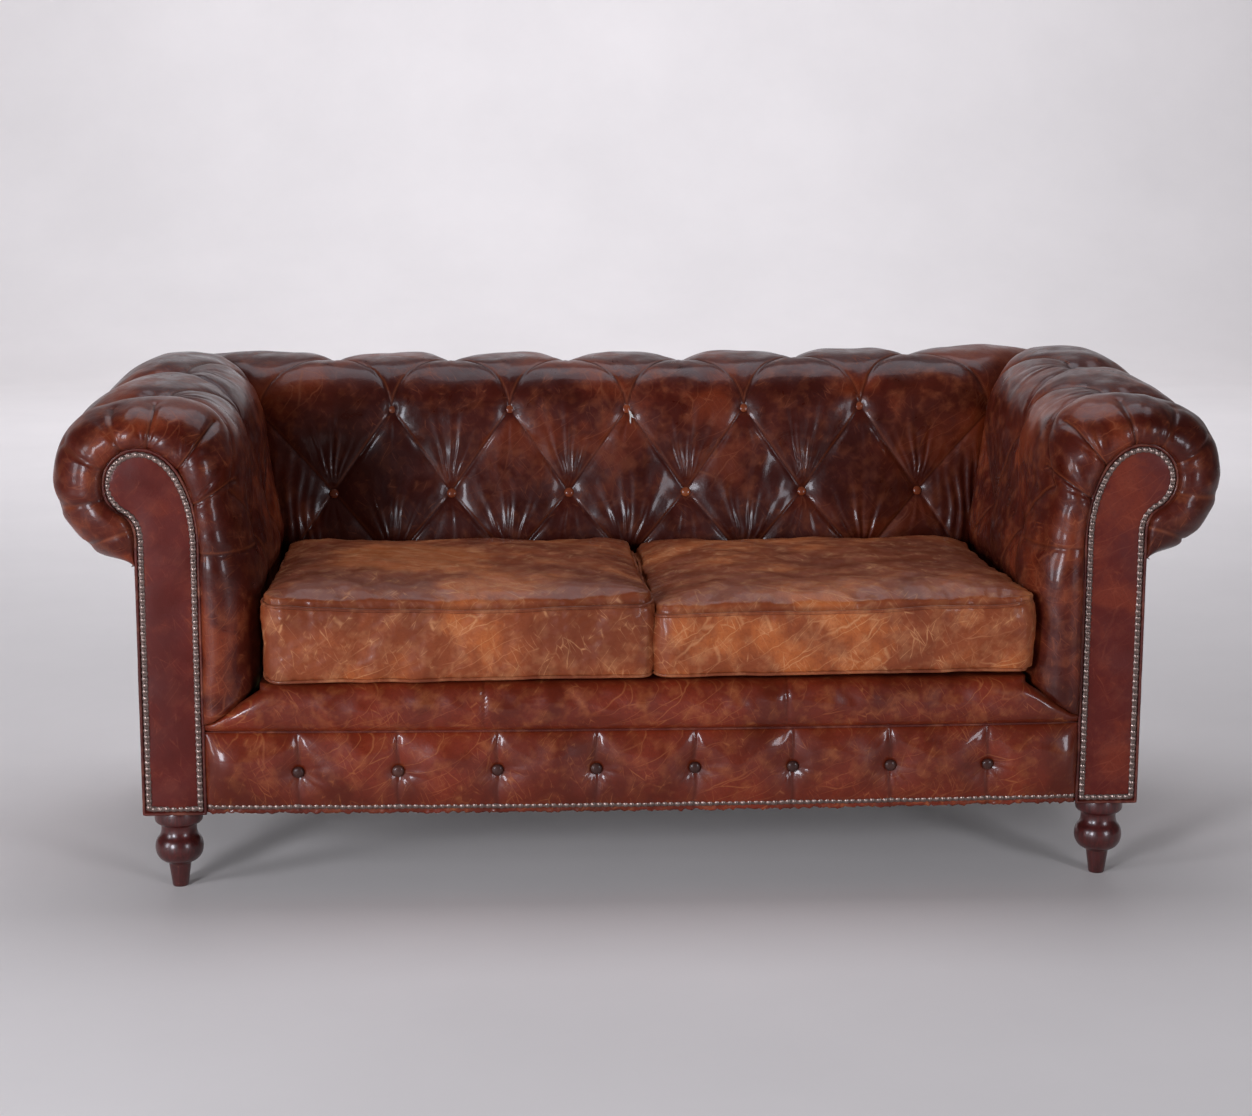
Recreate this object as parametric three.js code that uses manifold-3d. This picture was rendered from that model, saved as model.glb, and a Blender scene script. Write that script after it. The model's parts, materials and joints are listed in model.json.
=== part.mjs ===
// A two-seat rolled-arm sofa: hardwood frame, sinuous seat springs, padding, leather covers,
// two loose seat cushions, turned front feet and square back legs.
// Millimetres, +Z up, front towards -Y, origin on the floor under the middle of the sofa.
import * as THREE from 'three';
import { mergeVertices } from 'three/addons/utils/BufferGeometryUtils.js';
import Module from 'manifold-3d';

const wasm = await Module();
wasm.setup();

// ---------------------------------------------------------------- driving dimensions
const GAP = 0.4; // clearance left between two pieces that touch
const LEATHER = 2; // thickness of the leather covers

const HALF_WIDTH = 915; // outermost point of each arm roll
const FRONT = -430; // front of the lip
const BACK = 430; // rearmost point of the back roll
const FACING_Y = -405; // front plane of the arms

const UNDERSIDE = 131; // bottom of the upholstery
const BORDER_TOP = 263; // seam between the front border and the lip
const SEAT_Z = 341; // top of the lip and the deck, where the cushions lie
const LIP_REAR = -330; // where the lip ends and the deck starts
const ROLL_Z = 655; // height of the centre of every roll
const ROLL_UNDER = 529; // where the rolls meet the outside panels
const ARM_TOP = 789;
const BACK_TOP = 797;

const ARM = { inner: 599, stemIn: 694, stemOut: 791, head: 782, roll: 777 };
const BACKREST = { inner: 90, stemIn: 225, stemOut: 312, head: 297, roll: 290 };
const HEAD_R = 56; // round head of the arm front and of the timber inside each roll
const ROLL_ROUND = 40; // rounding of the end of each roll
const PANEL = 3; // leather over card on the outside of the arms and the back

const RAIL = { bottom: 134, top: 254, thick: 32 };
const POST_THICK = 25; // arm front board
const TOP_RAIL = { width: 78, height: 60 };
const TACK_RAIL = { height: 50, bottom: 310, front: 229 };
const HESSIAN = { bottom: 300, top: 556, thick: 1.5 };
const REAR_POST = { inner: 740, outer: 790, front: 240 };
const SIDE_RAIL_IN = 755;
const CORNER_BLOCK = {
  front: { across: [696, 754], along: [-367, -300] },
  rear: { across: [690, 739], along: [200, 269] },
  cut: 30,
  height: 76,
};

const CUSHION = { split: 8, outer: 596, front: -430, rear: 84, top: 488, round: 14, corner: 26 };
const BUTTON = { count: 8, spacing: 156.5, radius: 10, thick: 8, z: 197 };
const SPRING = { count: 6, spacing: 200, wire: 2, swing: 24, bends: 14, rise: 28 };
const FOOT = { x: 743, y: -360, top: 130.5 };
const LEG = { x: 765, y: 276, top: 50, bottom: 34 }; // square, tapered to the floor

// ---------------------------------------------------------------- finishes
const FINISH = {
  leather: { color: 0x5a2418, roughness: 0.38, metalness: 0 },
  facing: { color: 0x48201a, roughness: 0.5, metalness: 0 },
  cushion: { color: 0x84431f, roughness: 0.42, metalness: 0 },
  button: { color: 0x3a1b14, roughness: 0.45, metalness: 0 },
  timber: { color: 0xb08a5a, roughness: 0.75, metalness: 0 },
  mahogany: { color: 0x2c1210, roughness: 0.3, metalness: 0 },
  steel: { color: 0x8a8d90, roughness: 0.4, metalness: 1 },
  foam: { color: 0xe4d9b4, roughness: 0.95, metalness: 0 },
  hessian: { color: 0x9c8353, roughness: 0.95, metalness: 0 },
  cambric: { color: 0x18181a, roughness: 0.95, metalness: 0 },
};

const sofa = new THREE.Group();

function add(name, finish, geometry) {
  const mesh = new THREE.Mesh(geometry, new THREE.MeshStandardMaterial(FINISH[finish]));
  mesh.name = name;
  sofa.add(mesh);
  return mesh;
}

// ---------------------------------------------------------------- shaping helpers
// A geometry made by extruding an outline along one axis, from one coordinate to another.
// Along x the outline holds (y, z), along y it holds (x, z) and along z it holds (x, y).
const AXES = {
  x: new THREE.Matrix4().makeBasis(
    new THREE.Vector3(0, 1, 0), new THREE.Vector3(0, 0, 1), new THREE.Vector3(1, 0, 0)),
  y: new THREE.Matrix4().makeBasis(
    new THREE.Vector3(1, 0, 0), new THREE.Vector3(0, 0, 1), new THREE.Vector3(0, -1, 0)),
  z: new THREE.Matrix4(),
};

function extrude(points, axis, from, to, { round = 0, inset = 0 } = {}) {
  const geometry = new THREE.ExtrudeGeometry(new THREE.Shape(points), {
    depth: to - from - 2 * (round + inset),
    steps: 1,
    bevelEnabled: round > 0,
    bevelThickness: round,
    bevelSize: round,
    bevelOffset: -round - inset,
    bevelSegments: 4,
  });
  // The y axis runs against the extrusion, so its far end is placed first.
  const start = axis === 'y' ? -to : from;
  geometry.translate(0, 0, start + round + inset);
  return geometry.applyMatrix4(AXES[axis]);
}

function box([x0, x1], [y0, y1], [z0, z1]) {
  const geometry = new THREE.BoxGeometry(x1 - x0, y1 - y0, z1 - z0);
  return geometry.translate((x0 + x1) / 2, (y0 + y1) / 2, (z0 + z1) / 2);
}

function point(x, y) {
  return new THREE.Vector2(x, y);
}

// Mirrors an outline's first coordinate for the piece on the other side.
function mirrored(points, side) {
  return points.map((p) => point(side * p.x, p.y));
}

// Mirrors a pair of limits, lowest first.
function span(side, near, far) {
  return side > 0 ? [near, far] : [-far, -near];
}

function solid(geometry) {
  const bare = geometry.clone();
  bare.deleteAttribute('normal');
  bare.deleteAttribute('uv');
  const merged = mergeVertices(bare, 1e-4);
  return new wasm.Manifold(new wasm.Mesh({
    numProp: 3,
    vertProperties: new Float32Array(merged.attributes.position.array),
    triVerts: new Uint32Array(merged.index.array),
  }));
}

function geometryOf(manifold) {
  const mesh = manifold.getMesh();
  const geometry = new THREE.BufferGeometry();
  geometry.setAttribute('position', new THREE.BufferAttribute(mesh.vertProperties, 3));
  geometry.setIndex(new THREE.BufferAttribute(mesh.triVerts, 1));
  geometry.computeVertexNormals();
  return geometry;
}

// ---------------------------------------------------------------- outlines
// The scroll of an arm front: a straight stem under a round head, in from the stem's outer edge.
function scrollOutline({ stemIn, stemOut, head }, bottom, inset = 0) {
  const shape = new THREE.Shape();
  const r = HEAD_R - inset;
  const turn = -1.13; // where the head runs into the neck, radians
  shape.moveTo(stemIn + inset, bottom);
  shape.lineTo(stemIn + inset, ROLL_Z - 95);
  shape.bezierCurveTo(stemIn + inset, ROLL_Z - 20, head - r, ROLL_Z + r, head, ROLL_Z + r);
  shape.absarc(head, ROLL_Z, r, Math.PI / 2, turn, true);
  shape.quadraticCurveTo(stemOut - inset, ROLL_Z - 58, stemOut - inset, ROLL_Z - 85);
  shape.lineTo(stemOut - inset, bottom);
  return shape.getPoints(8);
}

// The section of a padded wall and the roll on its top, from its inner foot round to the place
// under the roll where the outside panel is tacked.
function rollOutline({ inner, stemIn, stemOut, roll }, outer, top, foot, lean) {
  const shape = new THREE.Shape();
  shape.moveTo(stemIn + 4, foot.outer);
  shape.lineTo(inner, foot.inner);
  shape.lineTo(inner, SEAT_Z + 129);
  shape.bezierCurveTo(inner, 545, inner + lean, 590, inner + lean, ROLL_Z);
  shape.bezierCurveTo(inner + lean, top - 20, roll - 80, top, roll, top);
  shape.bezierCurveTo(roll + 74, top, outer, ROLL_Z + 76, outer, ROLL_Z);
  shape.bezierCurveTo(outer, ROLL_Z - 72, stemOut + 58, ROLL_UNDER, stemOut + 5, ROLL_UNDER);
  shape.lineTo(stemOut - 1, ROLL_UNDER);
  shape.lineTo(stemOut - 30, ROLL_UNDER - 20);
  shape.lineTo(stemOut - 30, foot.inner);
  return shape.getPoints(8);
}

// The rounded nose of the seat's front edge, with a flat top behind it.
function lipOutline(inset) {
  const shape = new THREE.Shape();
  const nose = FACING_Y + 5;
  const middle = (BORDER_TOP + 1 + SEAT_Z) / 2;
  const rise = SEAT_Z - middle - inset;
  shape.moveTo(LIP_REAR, middle - rise);
  shape.lineTo(nose, middle - rise);
  shape.absellipse(nose, middle, nose - FRONT - inset, rise, -Math.PI / 2, Math.PI / 2, true);
  shape.lineTo(LIP_REAR, middle + rise);
  return shape.getPoints(9);
}

function rectangleOutline(x0, x1, y0, y1, r) {
  const shape = new THREE.Shape();
  shape.absarc(x1 - r, y1 - r, r, 0, Math.PI / 2);
  shape.absarc(x0 + r, y1 - r, r, Math.PI / 2, Math.PI);
  shape.absarc(x0 + r, y0 + r, r, Math.PI, 1.5 * Math.PI);
  shape.absarc(x1 - r, y0 + r, r, 1.5 * Math.PI, 2 * Math.PI);
  return shape.getPoints(4).slice(0, -1);
}

// ---------------------------------------------------------------- padded walls
const ARM_FOOT = { inner: 329, outer: 266 }; // slanted foot of the arm padding, beside the lip
const BACK_FOOT = { inner: 300, outer: 300 };
const SIDES = { left: -1, right: 1 };
const CORE_BOTTOM = 100;

function armForm(side, inset) {
  const outline = mirrored(rollOutline(ARM, HALF_WIDTH, ARM_TOP, ARM_FOOT, 26), side);
  return solid(extrude(outline, 'y', FACING_Y, BACK, { round: ROLL_ROUND, inset }));
}

function backForm(inset) {
  const outline = rollOutline(BACKREST, BACK, BACK_TOP, BACK_FOOT, 30);
  return solid(extrude(outline, 'x', -HALF_WIDTH, HALF_WIDTH, { round: ROLL_ROUND, inset }));
}

// The room that the timber takes inside the arms and the back.
function timberRoom() {
  const armScroll = scrollOutline(ARM, CORE_BOTTOM);
  const backScroll = scrollOutline(BACKREST, CORE_BOTTOM);
  const reach = BACKREST.head + HEAD_R;
  const left = solid(extrude(mirrored(armScroll, -1), 'y', FRONT, reach));
  const right = solid(extrude(armScroll, 'y', FRONT, reach));
  const back = solid(extrude(backScroll, 'x', -ARM.head - HEAD_R, ARM.head + HEAD_R));
  return left.add(right).add(back);
}

// A wedge of plan on one side of the line where an arm and the back are mitred together.
function mitreWedge(side, forArm) {
  const start = point(ARM.inner, BACKREST.inner);
  const along = point(HALF_WIDTH - start.x, BACK - start.y);
  const a = start.clone().addScaledVector(along, -0.5);
  const b = start.clone().addScaledVector(along, 1.5);
  const corner = forArm ? point(a.x, b.y) : point(b.x, a.y);
  const shift = forArm ? -GAP : GAP;
  const plan = [a, b, corner].map((p) => point(p.x, p.y + shift));
  return solid(extrude(mirrored(plan, side), 'z', 0, BACK_TOP + 50));
}

// Padding and the leather over it, both kept out of the timber and cut at the mitre.
function paddedWall(form, cuts) {
  const away = cuts.reduce((all, cut) => all.add(cut));
  const cover = form(0).subtract(form(LEATHER)).subtract(away);
  const padding = form(LEATHER + GAP).subtract(away);
  return { cover: geometryOf(cover), padding: geometryOf(padding) };
}

const core = timberRoom();
for (const [word, side] of Object.entries(SIDES)) {
  const arm = paddedWall((inset) => armForm(side, inset), [core, mitreWedge(side, true)]);
  add(`arm_padding_${word}`, 'foam', arm.padding);
  add(`arm_cover_${word}`, 'leather', arm.cover);
}
const backWall = paddedWall(backForm, [core, mitreWedge(1, false), mitreWedge(-1, false)]);
add('back_padding', 'foam', backWall.padding);
add('back_cover', 'leather', backWall.cover);

// ---------------------------------------------------------------- arm fronts and outside panels
function armFront(word, side) {
  const facing = mirrored(scrollOutline(ARM, UNDERSIDE, GAP), side);
  add(`arm_facing_${word}`, 'facing', extrude(facing, 'y', FACING_Y - 0.5, FACING_Y + 4));
  const board = mirrored(scrollOutline(ARM, RAIL.bottom, 1), side);
  const boardFront = FACING_Y + 5;
  add(`arm_post_${word}`, 'timber', extrude(board, 'y', boardFront, boardFront + POST_THICK));
}

const OUTSIDE_TOP = ROLL_UNDER - 3;
const OUTSIDE_BACK_Y = BACKREST.stemOut + GAP;
for (const [word, side] of Object.entries(SIDES)) {
  armFront(word, side);
  const inner = ARM.stemOut + 1;
  const across = span(side, inner, inner + PANEL);
  const along = [FACING_Y + 5, OUTSIDE_BACK_Y + PANEL];
  add(`outside_arm_${word}`, 'leather', box(across, along, [UNDERSIDE, OUTSIDE_TOP]));
}
add('outside_back', 'leather', box(
  [-ARM.stemOut, ARM.stemOut], [OUTSIDE_BACK_Y, OUTSIDE_BACK_Y + PANEL], [UNDERSIDE, OUTSIDE_TOP]));

// ---------------------------------------------------------------- lip, border and its buttons
function lipPieces() {
  const end = ARM.stemIn - 2;
  // Above this slanted line at each end the arm padding takes the lip's place.
  const slant = [
    point(ARM.inner - GAP, SEAT_Z + 20), point(ARM.inner - GAP, ARM_FOOT.inner - 1.5),
    point(ARM.stemIn + 4, ARM_FOOT.outer - 1.5), point(ARM.stemIn + 4, SEAT_Z + 20),
  ];
  const ends = solid(extrude(slant, 'y', FRONT - 5, LIP_REAR + 5))
    .add(solid(extrude(mirrored(slant, -1), 'y', FRONT - 5, LIP_REAR + 5)));
  const outer = solid(extrude(lipOutline(0), 'x', -end, end));
  const inner = solid(extrude(lipOutline(LEATHER), 'x', -end - 5, end + 5));
  const padding = solid(extrude(lipOutline(LEATHER + GAP), 'x', -end, end));
  const behind = solid(box([-end - 5, end + 5], [FACING_Y + 7, LIP_REAR + 5], [250, SEAT_Z - 10]));
  return {
    cover: outer.subtract(inner).subtract(behind).subtract(ends),
    padding: padding.subtract(ends),
  };
}

const lip = lipPieces();
add('lip_padding', 'foam', geometryOf(lip.padding));
add('lip_cover', 'leather', geometryOf(lip.cover));

const BORDER_X = ARM.stemIn - 1;
add('border_panel', 'leather', box(
  [-BORDER_X, BORDER_X], [FACING_Y - 1, FACING_Y + 4], [UNDERSIDE, BORDER_TOP]));

function buttonGeometry() {
  const { radius, thick } = BUTTON;
  const profile = [
    [0, 0], [radius * 0.85, 0], [radius, thick * 0.3], [radius * 0.9, thick * 0.65],
    [radius * 0.55, thick * 0.92], [0, thick],
  ].map(([r, h]) => point(r, h));
  return new THREE.LatheGeometry(profile, 16);
}

for (let i = 0; i < BUTTON.count; i += 1) {
  const button = add(`border_button_${i + 1}`, 'button', buttonGeometry());
  button.rotation.x = Math.PI; // the lathe's axis is y, and the dome faces the front
  button.position.set((i - (BUTTON.count - 1) / 2) * BUTTON.spacing, FACING_Y - 1 - GAP, BUTTON.z);
}

// ---------------------------------------------------------------- seat cushions and deck
function cushion(name, x0, x1) {
  const { front, rear, corner, round, top } = CUSHION;
  const outline = rectangleOutline(x0, x1, front, rear, corner + round);
  add(name, 'cushion', extrude(outline, 'z', SEAT_Z + 1, top, { round }));
}
cushion('seat_cushion_left', -CUSHION.outer, CUSHION.split - 2);
cushion('seat_cushion_right', CUSHION.split + 2, CUSHION.outer);

add('seat_deck', 'hessian', box(
  [-CUSHION.outer, CUSHION.outer], [LIP_REAR + 1, CUSHION.rear], [SEAT_Z - 43, SEAT_Z]));

// ---------------------------------------------------------------- timber frame
const FRONT_RAIL_Y = [FACING_Y + 5, FACING_Y + 5 + RAIL.thick];
const REAR_RAIL_Y = [BACKREST.stemOut - 42, BACKREST.stemOut];
const POST_REAR = FACING_Y + 5 + POST_THICK;
const RAIL_Z = [RAIL.bottom, RAIL.top];

add('seat_rail_front', 'timber', box(
  [-ARM.stemIn, ARM.stemIn], FRONT_RAIL_Y, RAIL_Z));
add('seat_rail_rear', 'timber', box(
  [-REAR_POST.inner + GAP, REAR_POST.inner - GAP], REAR_RAIL_Y, RAIL_Z));
add('seat_brace', 'timber', box(
  [-22, 22], [FRONT_RAIL_Y[1] + GAP, REAR_RAIL_Y[0] - GAP], [RAIL.bottom, 200]));

// A glue block seen from above, with the corner nearest the middle of the seat sawn off.
function cornerBlock(name, side, { across: [s0, s1], along: [y0, y1] }, atFront) {
  const { cut, height } = CORNER_BLOCK;
  const plan = atFront
    ? [point(s0, y0), point(s1, y0), point(s1, y1), point(s0 + cut, y1), point(s0, y1 - cut)]
    : [point(s0 + cut, y0), point(s1, y0), point(s1, y1), point(s0, y1), point(s0, y0 + cut)];
  add(name, 'timber', extrude(mirrored(plan, side), 'z', RAIL.bottom, RAIL.bottom + height));
}

for (const [word, side] of Object.entries(SIDES)) {
  const sideRail = span(side, SIDE_RAIL_IN, REAR_POST.outer);
  add(`seat_rail_${word}`, 'timber', box(
    sideRail, [POST_REAR + GAP, REAR_POST.front - GAP], RAIL_Z));
  cornerBlock(`corner_block_front_${word}`, side, CORNER_BLOCK.front, true);
  cornerBlock(`corner_block_rear_${word}`, side, CORNER_BLOCK.rear, false);

  const railHalf = TOP_RAIL.width / 2;
  const topRail = span(side, ARM.roll - railHalf, ARM.roll + railHalf);
  const topZ = [ROLL_Z - TOP_RAIL.height / 2, ROLL_Z + TOP_RAIL.height / 2];
  add(`arm_top_rail_${word}`, 'timber', box(
    topRail, [POST_REAR + GAP, BACKREST.head + railHalf], topZ));
  add(`arm_tack_rail_${word}`, 'timber', box(
    span(side, ARM.stemIn + 3, REAR_POST.inner - 4), [POST_REAR + GAP, TACK_RAIL.front - GAP],
    [TACK_RAIL.bottom, TACK_RAIL.bottom + TACK_RAIL.height]));
  add(`arm_hessian_${word}`, 'hessian', box(
    span(side, ARM.stemIn + 0.8, ARM.stemIn + 0.8 + HESSIAN.thick),
    [POST_REAR + 5, TACK_RAIL.front - 5], [HESSIAN.bottom, HESSIAN.top]));
  add(`rear_post_${word}`, 'timber', box(
    span(side, REAR_POST.inner, REAR_POST.outer), [REAR_POST.front, BACKREST.stemOut],
    [RAIL.bottom, topZ[0] - GAP]));
}

const topRailHalf = TOP_RAIL.width / 2;
const topRailEnd = ARM.roll - topRailHalf - GAP;
add('back_top_rail', 'timber', box(
  [-topRailEnd, topRailEnd], [BACKREST.head - topRailHalf, BACKREST.head + topRailHalf],
  [ROLL_Z - TOP_RAIL.height / 2, ROLL_Z + TOP_RAIL.height / 2]));
add('back_tack_rail', 'timber', box(
  [-REAR_POST.inner + GAP, REAR_POST.inner - GAP], [TACK_RAIL.front, REAR_RAIL_Y[0] - GAP],
  [TACK_RAIL.bottom, TACK_RAIL.bottom + TACK_RAIL.height]));
add('back_upright', 'timber', box(
  [-25, 25], REAR_RAIL_Y, [RAIL.top + GAP, ROLL_Z - TOP_RAIL.height / 2 - GAP]));
add('back_hessian', 'hessian', box(
  [-ARM.stemIn + 4, ARM.stemIn - 4], [BACKREST.stemIn + 1.5, BACKREST.stemIn + 1.5 + HESSIAN.thick],
  [HESSIAN.bottom + 6, HESSIAN.top]));
add('dust_cover', 'cambric', box(
  [-ARM.stemOut + 3, ARM.stemOut - 3], [FACING_Y + 5, BACKREST.stemOut - 1],
  [UNDERSIDE, UNDERSIDE + 1.5]));

// ---------------------------------------------------------------- seat springs
// A sinuous spring: wire bent to and fro in one arched sheet, from the front rail to the rear rail.
function springGeometry() {
  const from = FRONT_RAIL_Y[0] + 14;
  const to = REAR_RAIL_Y[1] - 20;
  const low = RAIL.top + SPRING.wire + GAP;
  const points = [];
  const halfSteps = SPRING.bends * 2;
  for (let i = 0; i <= halfSteps; i += 1) {
    const t = i / halfSteps;
    const swing = SPRING.swing * Math.sin((Math.PI * i) / 2);
    const arch = SPRING.rise * Math.sin(Math.PI * t);
    points.push(new THREE.Vector3(swing, from + (to - from) * t, low + arch));
  }
  const section = [];
  for (let i = 0; i < 6; i += 1) {
    const angle = (Math.PI * i) / 3;
    section.push(point(SPRING.wire * Math.cos(angle), SPRING.wire * Math.sin(angle)));
  }
  return new THREE.ExtrudeGeometry(new THREE.Shape(section), {
    steps: SPRING.bends * 4,
    bevelEnabled: false,
    extrudePath: new THREE.CatmullRomCurve3(points, false, 'centripetal'),
  });
}

for (let i = 0; i < SPRING.count; i += 1) {
  const spring = add(`seat_spring_${i + 1}`, 'steel', springGeometry());
  spring.position.x = (i - (SPRING.count - 1) / 2) * SPRING.spacing;
}

// ---------------------------------------------------------------- feet and legs
// Half section of a turned bun foot: (height, radius) from the floor to the collar.
const FOOT_SECTION = [
  [0, 12.5], [34, 17.5], [39, 18], [44, 27], [51, 34.5], [60, 38], [68, 38], [76, 35.5],
  [84, 30.5], [91, 28], [100, 28.5], [106, 35], [109, 38], [124, 38], [FOOT.top, 36],
];

function footGeometry() {
  const profile = [point(0, 0), ...FOOT_SECTION.map(([h, r]) => point(r, h)), point(0, FOOT.top)];
  return new THREE.LatheGeometry(profile, 20).rotateX(Math.PI / 2);
}

for (const [word, side] of Object.entries(SIDES)) {
  const foot = add(`front_foot_${word}`, 'mahogany', footGeometry());
  foot.position.set(side * FOOT.x, FOOT.y, 0);
  const legGeometry = new THREE.CylinderGeometry(
    LEG.top / Math.SQRT2, LEG.bottom / Math.SQRT2, FOOT.top, 4);
  legGeometry.rotateY(Math.PI / 4).rotateX(Math.PI / 2).translate(0, 0, FOOT.top / 2);
  const leg = add(`rear_leg_${word}`, 'mahogany', legGeometry);
  leg.position.set(side * LEG.x, LEG.y, 0);
}

export default sofa;
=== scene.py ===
"""The look of a worn two-seat leather sofa with rolled arms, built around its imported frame.

Lengths are in metres, +Z is up and the sofa faces -Y. The word "out" is a distance from the
inner face of an arm or of the back towards the outside of the sofa.
"""

import json
import math
from functools import partial

import bmesh
import bpy
import numpy as np
from mathutils import Matrix, Vector
from mathutils.bvhtree import BVHTree


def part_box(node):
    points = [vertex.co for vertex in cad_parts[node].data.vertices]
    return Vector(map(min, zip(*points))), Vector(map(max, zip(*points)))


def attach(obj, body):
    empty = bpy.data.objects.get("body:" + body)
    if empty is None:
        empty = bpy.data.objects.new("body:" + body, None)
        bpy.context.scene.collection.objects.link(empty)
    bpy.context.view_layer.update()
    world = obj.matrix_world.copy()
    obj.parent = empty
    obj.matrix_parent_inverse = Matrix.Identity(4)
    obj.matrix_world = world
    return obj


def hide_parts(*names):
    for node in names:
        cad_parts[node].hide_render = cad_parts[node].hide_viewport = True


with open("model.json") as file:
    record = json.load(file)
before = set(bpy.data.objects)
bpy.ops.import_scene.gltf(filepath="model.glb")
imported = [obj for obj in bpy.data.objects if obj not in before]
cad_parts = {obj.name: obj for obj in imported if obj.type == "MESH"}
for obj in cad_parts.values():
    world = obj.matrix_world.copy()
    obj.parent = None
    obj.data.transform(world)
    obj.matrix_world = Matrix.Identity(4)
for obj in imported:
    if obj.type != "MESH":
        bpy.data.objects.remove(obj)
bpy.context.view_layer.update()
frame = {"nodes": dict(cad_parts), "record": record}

bl_info = {
    "name": "Worn leather sofa",
    "version": (1, 0, 0),
    "blender": (4, 5, 0),
    "location": "3D View > Sidebar > Sofa",
    "description": "Builds the leather, trim and feet of a rolled-arm sofa around its frame",
    "category": "Object",
}

SIDES = {"left": -1, "right": 1}

# ------------------------------------------------------------------ sizes read from the frame
ARM_LOW, ARM_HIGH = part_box("arm_cover_right")
BACK_LOW, BACK_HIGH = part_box("back_cover")
FACING_LOW, FACING_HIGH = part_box("arm_facing_right")
PANEL_LOW, PANEL_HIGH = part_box("outside_arm_right")
REAR_LOW, REAR_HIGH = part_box("outside_back")
LIP_LOW, LIP_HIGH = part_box("lip_cover")
BORDER_LOW, BORDER_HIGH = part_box("border_panel")
RAIL_LOW, RAIL_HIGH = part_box("arm_top_rail_right")
FOOT_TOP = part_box("front_foot_right")[1].z

GAP = 0.0004  # clearance between the frame's pieces
ARM_IN = ARM_LOW.x
FRONT_Y = ARM_LOW.y  # plane of the arm fronts
BACK_IN = BACK_LOW.y
ROLL_OUT = (RAIL_LOW.x + RAIL_HIGH.x) / 2 - ARM_IN
ROLL_Z = (RAIL_LOW.z + RAIL_HIGH.z) / 2
WALL_OUT = ARM_HIGH.x - ARM_IN
DEEPER = (BACK_HIGH.y - BACK_IN) / WALL_OUT  # how much deeper the back is than an arm
TALLER = (BACK_HIGH.z - ROLL_Z) / (ARM_HIGH.z - ROLL_Z)
TACK_OUT = PANEL_HIGH.x + 0.002 - ARM_IN  # where the roll meets the outside panel
TACK_Z = PANEL_HIGH.z + 0.003
STEM_IN = FACING_LOW.x - GAP
STEM_OUT = PANEL_LOW.x - 0.001
HEAD_R = 0.056  # radius of the round head of an arm front
HEAD_X = FACING_HIGH.x + GAP - HEAD_R
NAIL_RISE = 0.011  # height of the border's nail row over its lower edge

UP, DOWN = math.pi / 2, -math.pi / 2  # directions on a wall, in its own u and v
# How far a button draws in the padding round it, by its row on the back: 1 is all the way.
PULLS = {"low": 0.62, "high": 0.20, "top": 0.70, "corner": 0.80, "hidden": 1.0}
ARM_PULL = 0.75
ARM_CREST_LEANS = (0.0, 0.010, 0.045)  # how far back the pleats over an arm's roll run

# How finely the leather is made: row steps on the seat side and past the roll, and columns.
BACK_STEP, BACK_STEP_BEHIND, BACK_COLS = 0.0025, 0.0072, 530
ARM_STEP, ARM_STEP_BEHIND, ARM_COLS, RING_COLS = 0.0027, 0.0060, 180, 56

# How each seat cushion has settled: how much wider its front is at its left and right end, and
# how far its top edge rises at the left, in the middle and at the right.
SETTLED_WIDER = {"left": (0.003, 0.009), "right": (0.002, 0.024)}
SETTLED_RISE = {"left": (0.005, -0.005, 0.002), "right": (-0.017, -0.011, -0.002)}

WALLS = {}  # the leather surfaces of the back and the arms, for what is sewn to them


def linear(hex_colour):
    """An sRGB hex colour as linear red, green, blue and alpha."""
    values = [int(hex_colour[i:i + 2], 16) / 255 for i in (1, 3, 5)]
    curve = [v / 12.92 if v <= 0.04045 else ((v + 0.055) / 1.055) ** 2.4 for v in values]
    return (*curve, 1.0)


def length(name, description, default):
    return bpy.props.FloatProperty(
        name=name, description=description, default=default, subtype="DISTANCE", unit="LENGTH",
        precision=4)


def colour(name, description, default):
    return bpy.props.FloatVectorProperty(
        name=name, description=description, default=linear(default), subtype="COLOR", size=4,
        min=0, max=1)


class SofaTufting(bpy.types.PropertyGroup):
    """The deep buttoning of the back and the arms."""

    puff: length("Puff", "Height of a puff over the buttons' seats", 0.019)
    spacing: length("Button spacing", "Distance between the buttons of a row on the back", 0.2074)
    row_hidden: length("Hidden row", "Height of the row behind the cushions", 0.440)
    row_low: length("Lower row", "Height of the lower row in view", 0.563)
    row_high: length("Upper row", "Height of the upper row, under the roll", 0.705)
    row_top: length("Top row", "How far out the row on top of the roll sits", 0.152)
    pleat_reach: length("Pleat reach", "How far a pleat cuts into the leather beside it", 0.0044)
    puff_reach: length("Puff reach", "How far a pleat rounds the puff beside it", 0.036)
    crest_reach: length("Crest reach", "How far the pleats over the roll round it", 0.060)
    pit_reach: length("Pit reach", "How far a button pulls down the leather round it", 0.016)
    button_radius: length("Button radius", "Radius of a covered button", 0.0085)


class SofaTrim(bpy.types.PropertyGroup):
    """Nails, piping and the seat's front edge."""

    nail_pitch: length("Nail pitch", "Distance between nail heads", 0.0104)
    nail_radius: length("Nail radius", "Radius of a nail head", 0.0047)
    nail_inset: length("Nail inset", "Distance from a panel's edge to its nail row", 0.0085)
    piping: length("Piping radius", "Radius of the piping round the arm fronts", 0.0026)
    welt: length("Cushion piping", "Radius of the piping of the seat cushions", 0.0030)
    sag: length("Sag", "How far the border has dropped in the middle", 0.005)
    border_puff: length("Border puff", "Height of the border's padding", 0.024)


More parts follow.
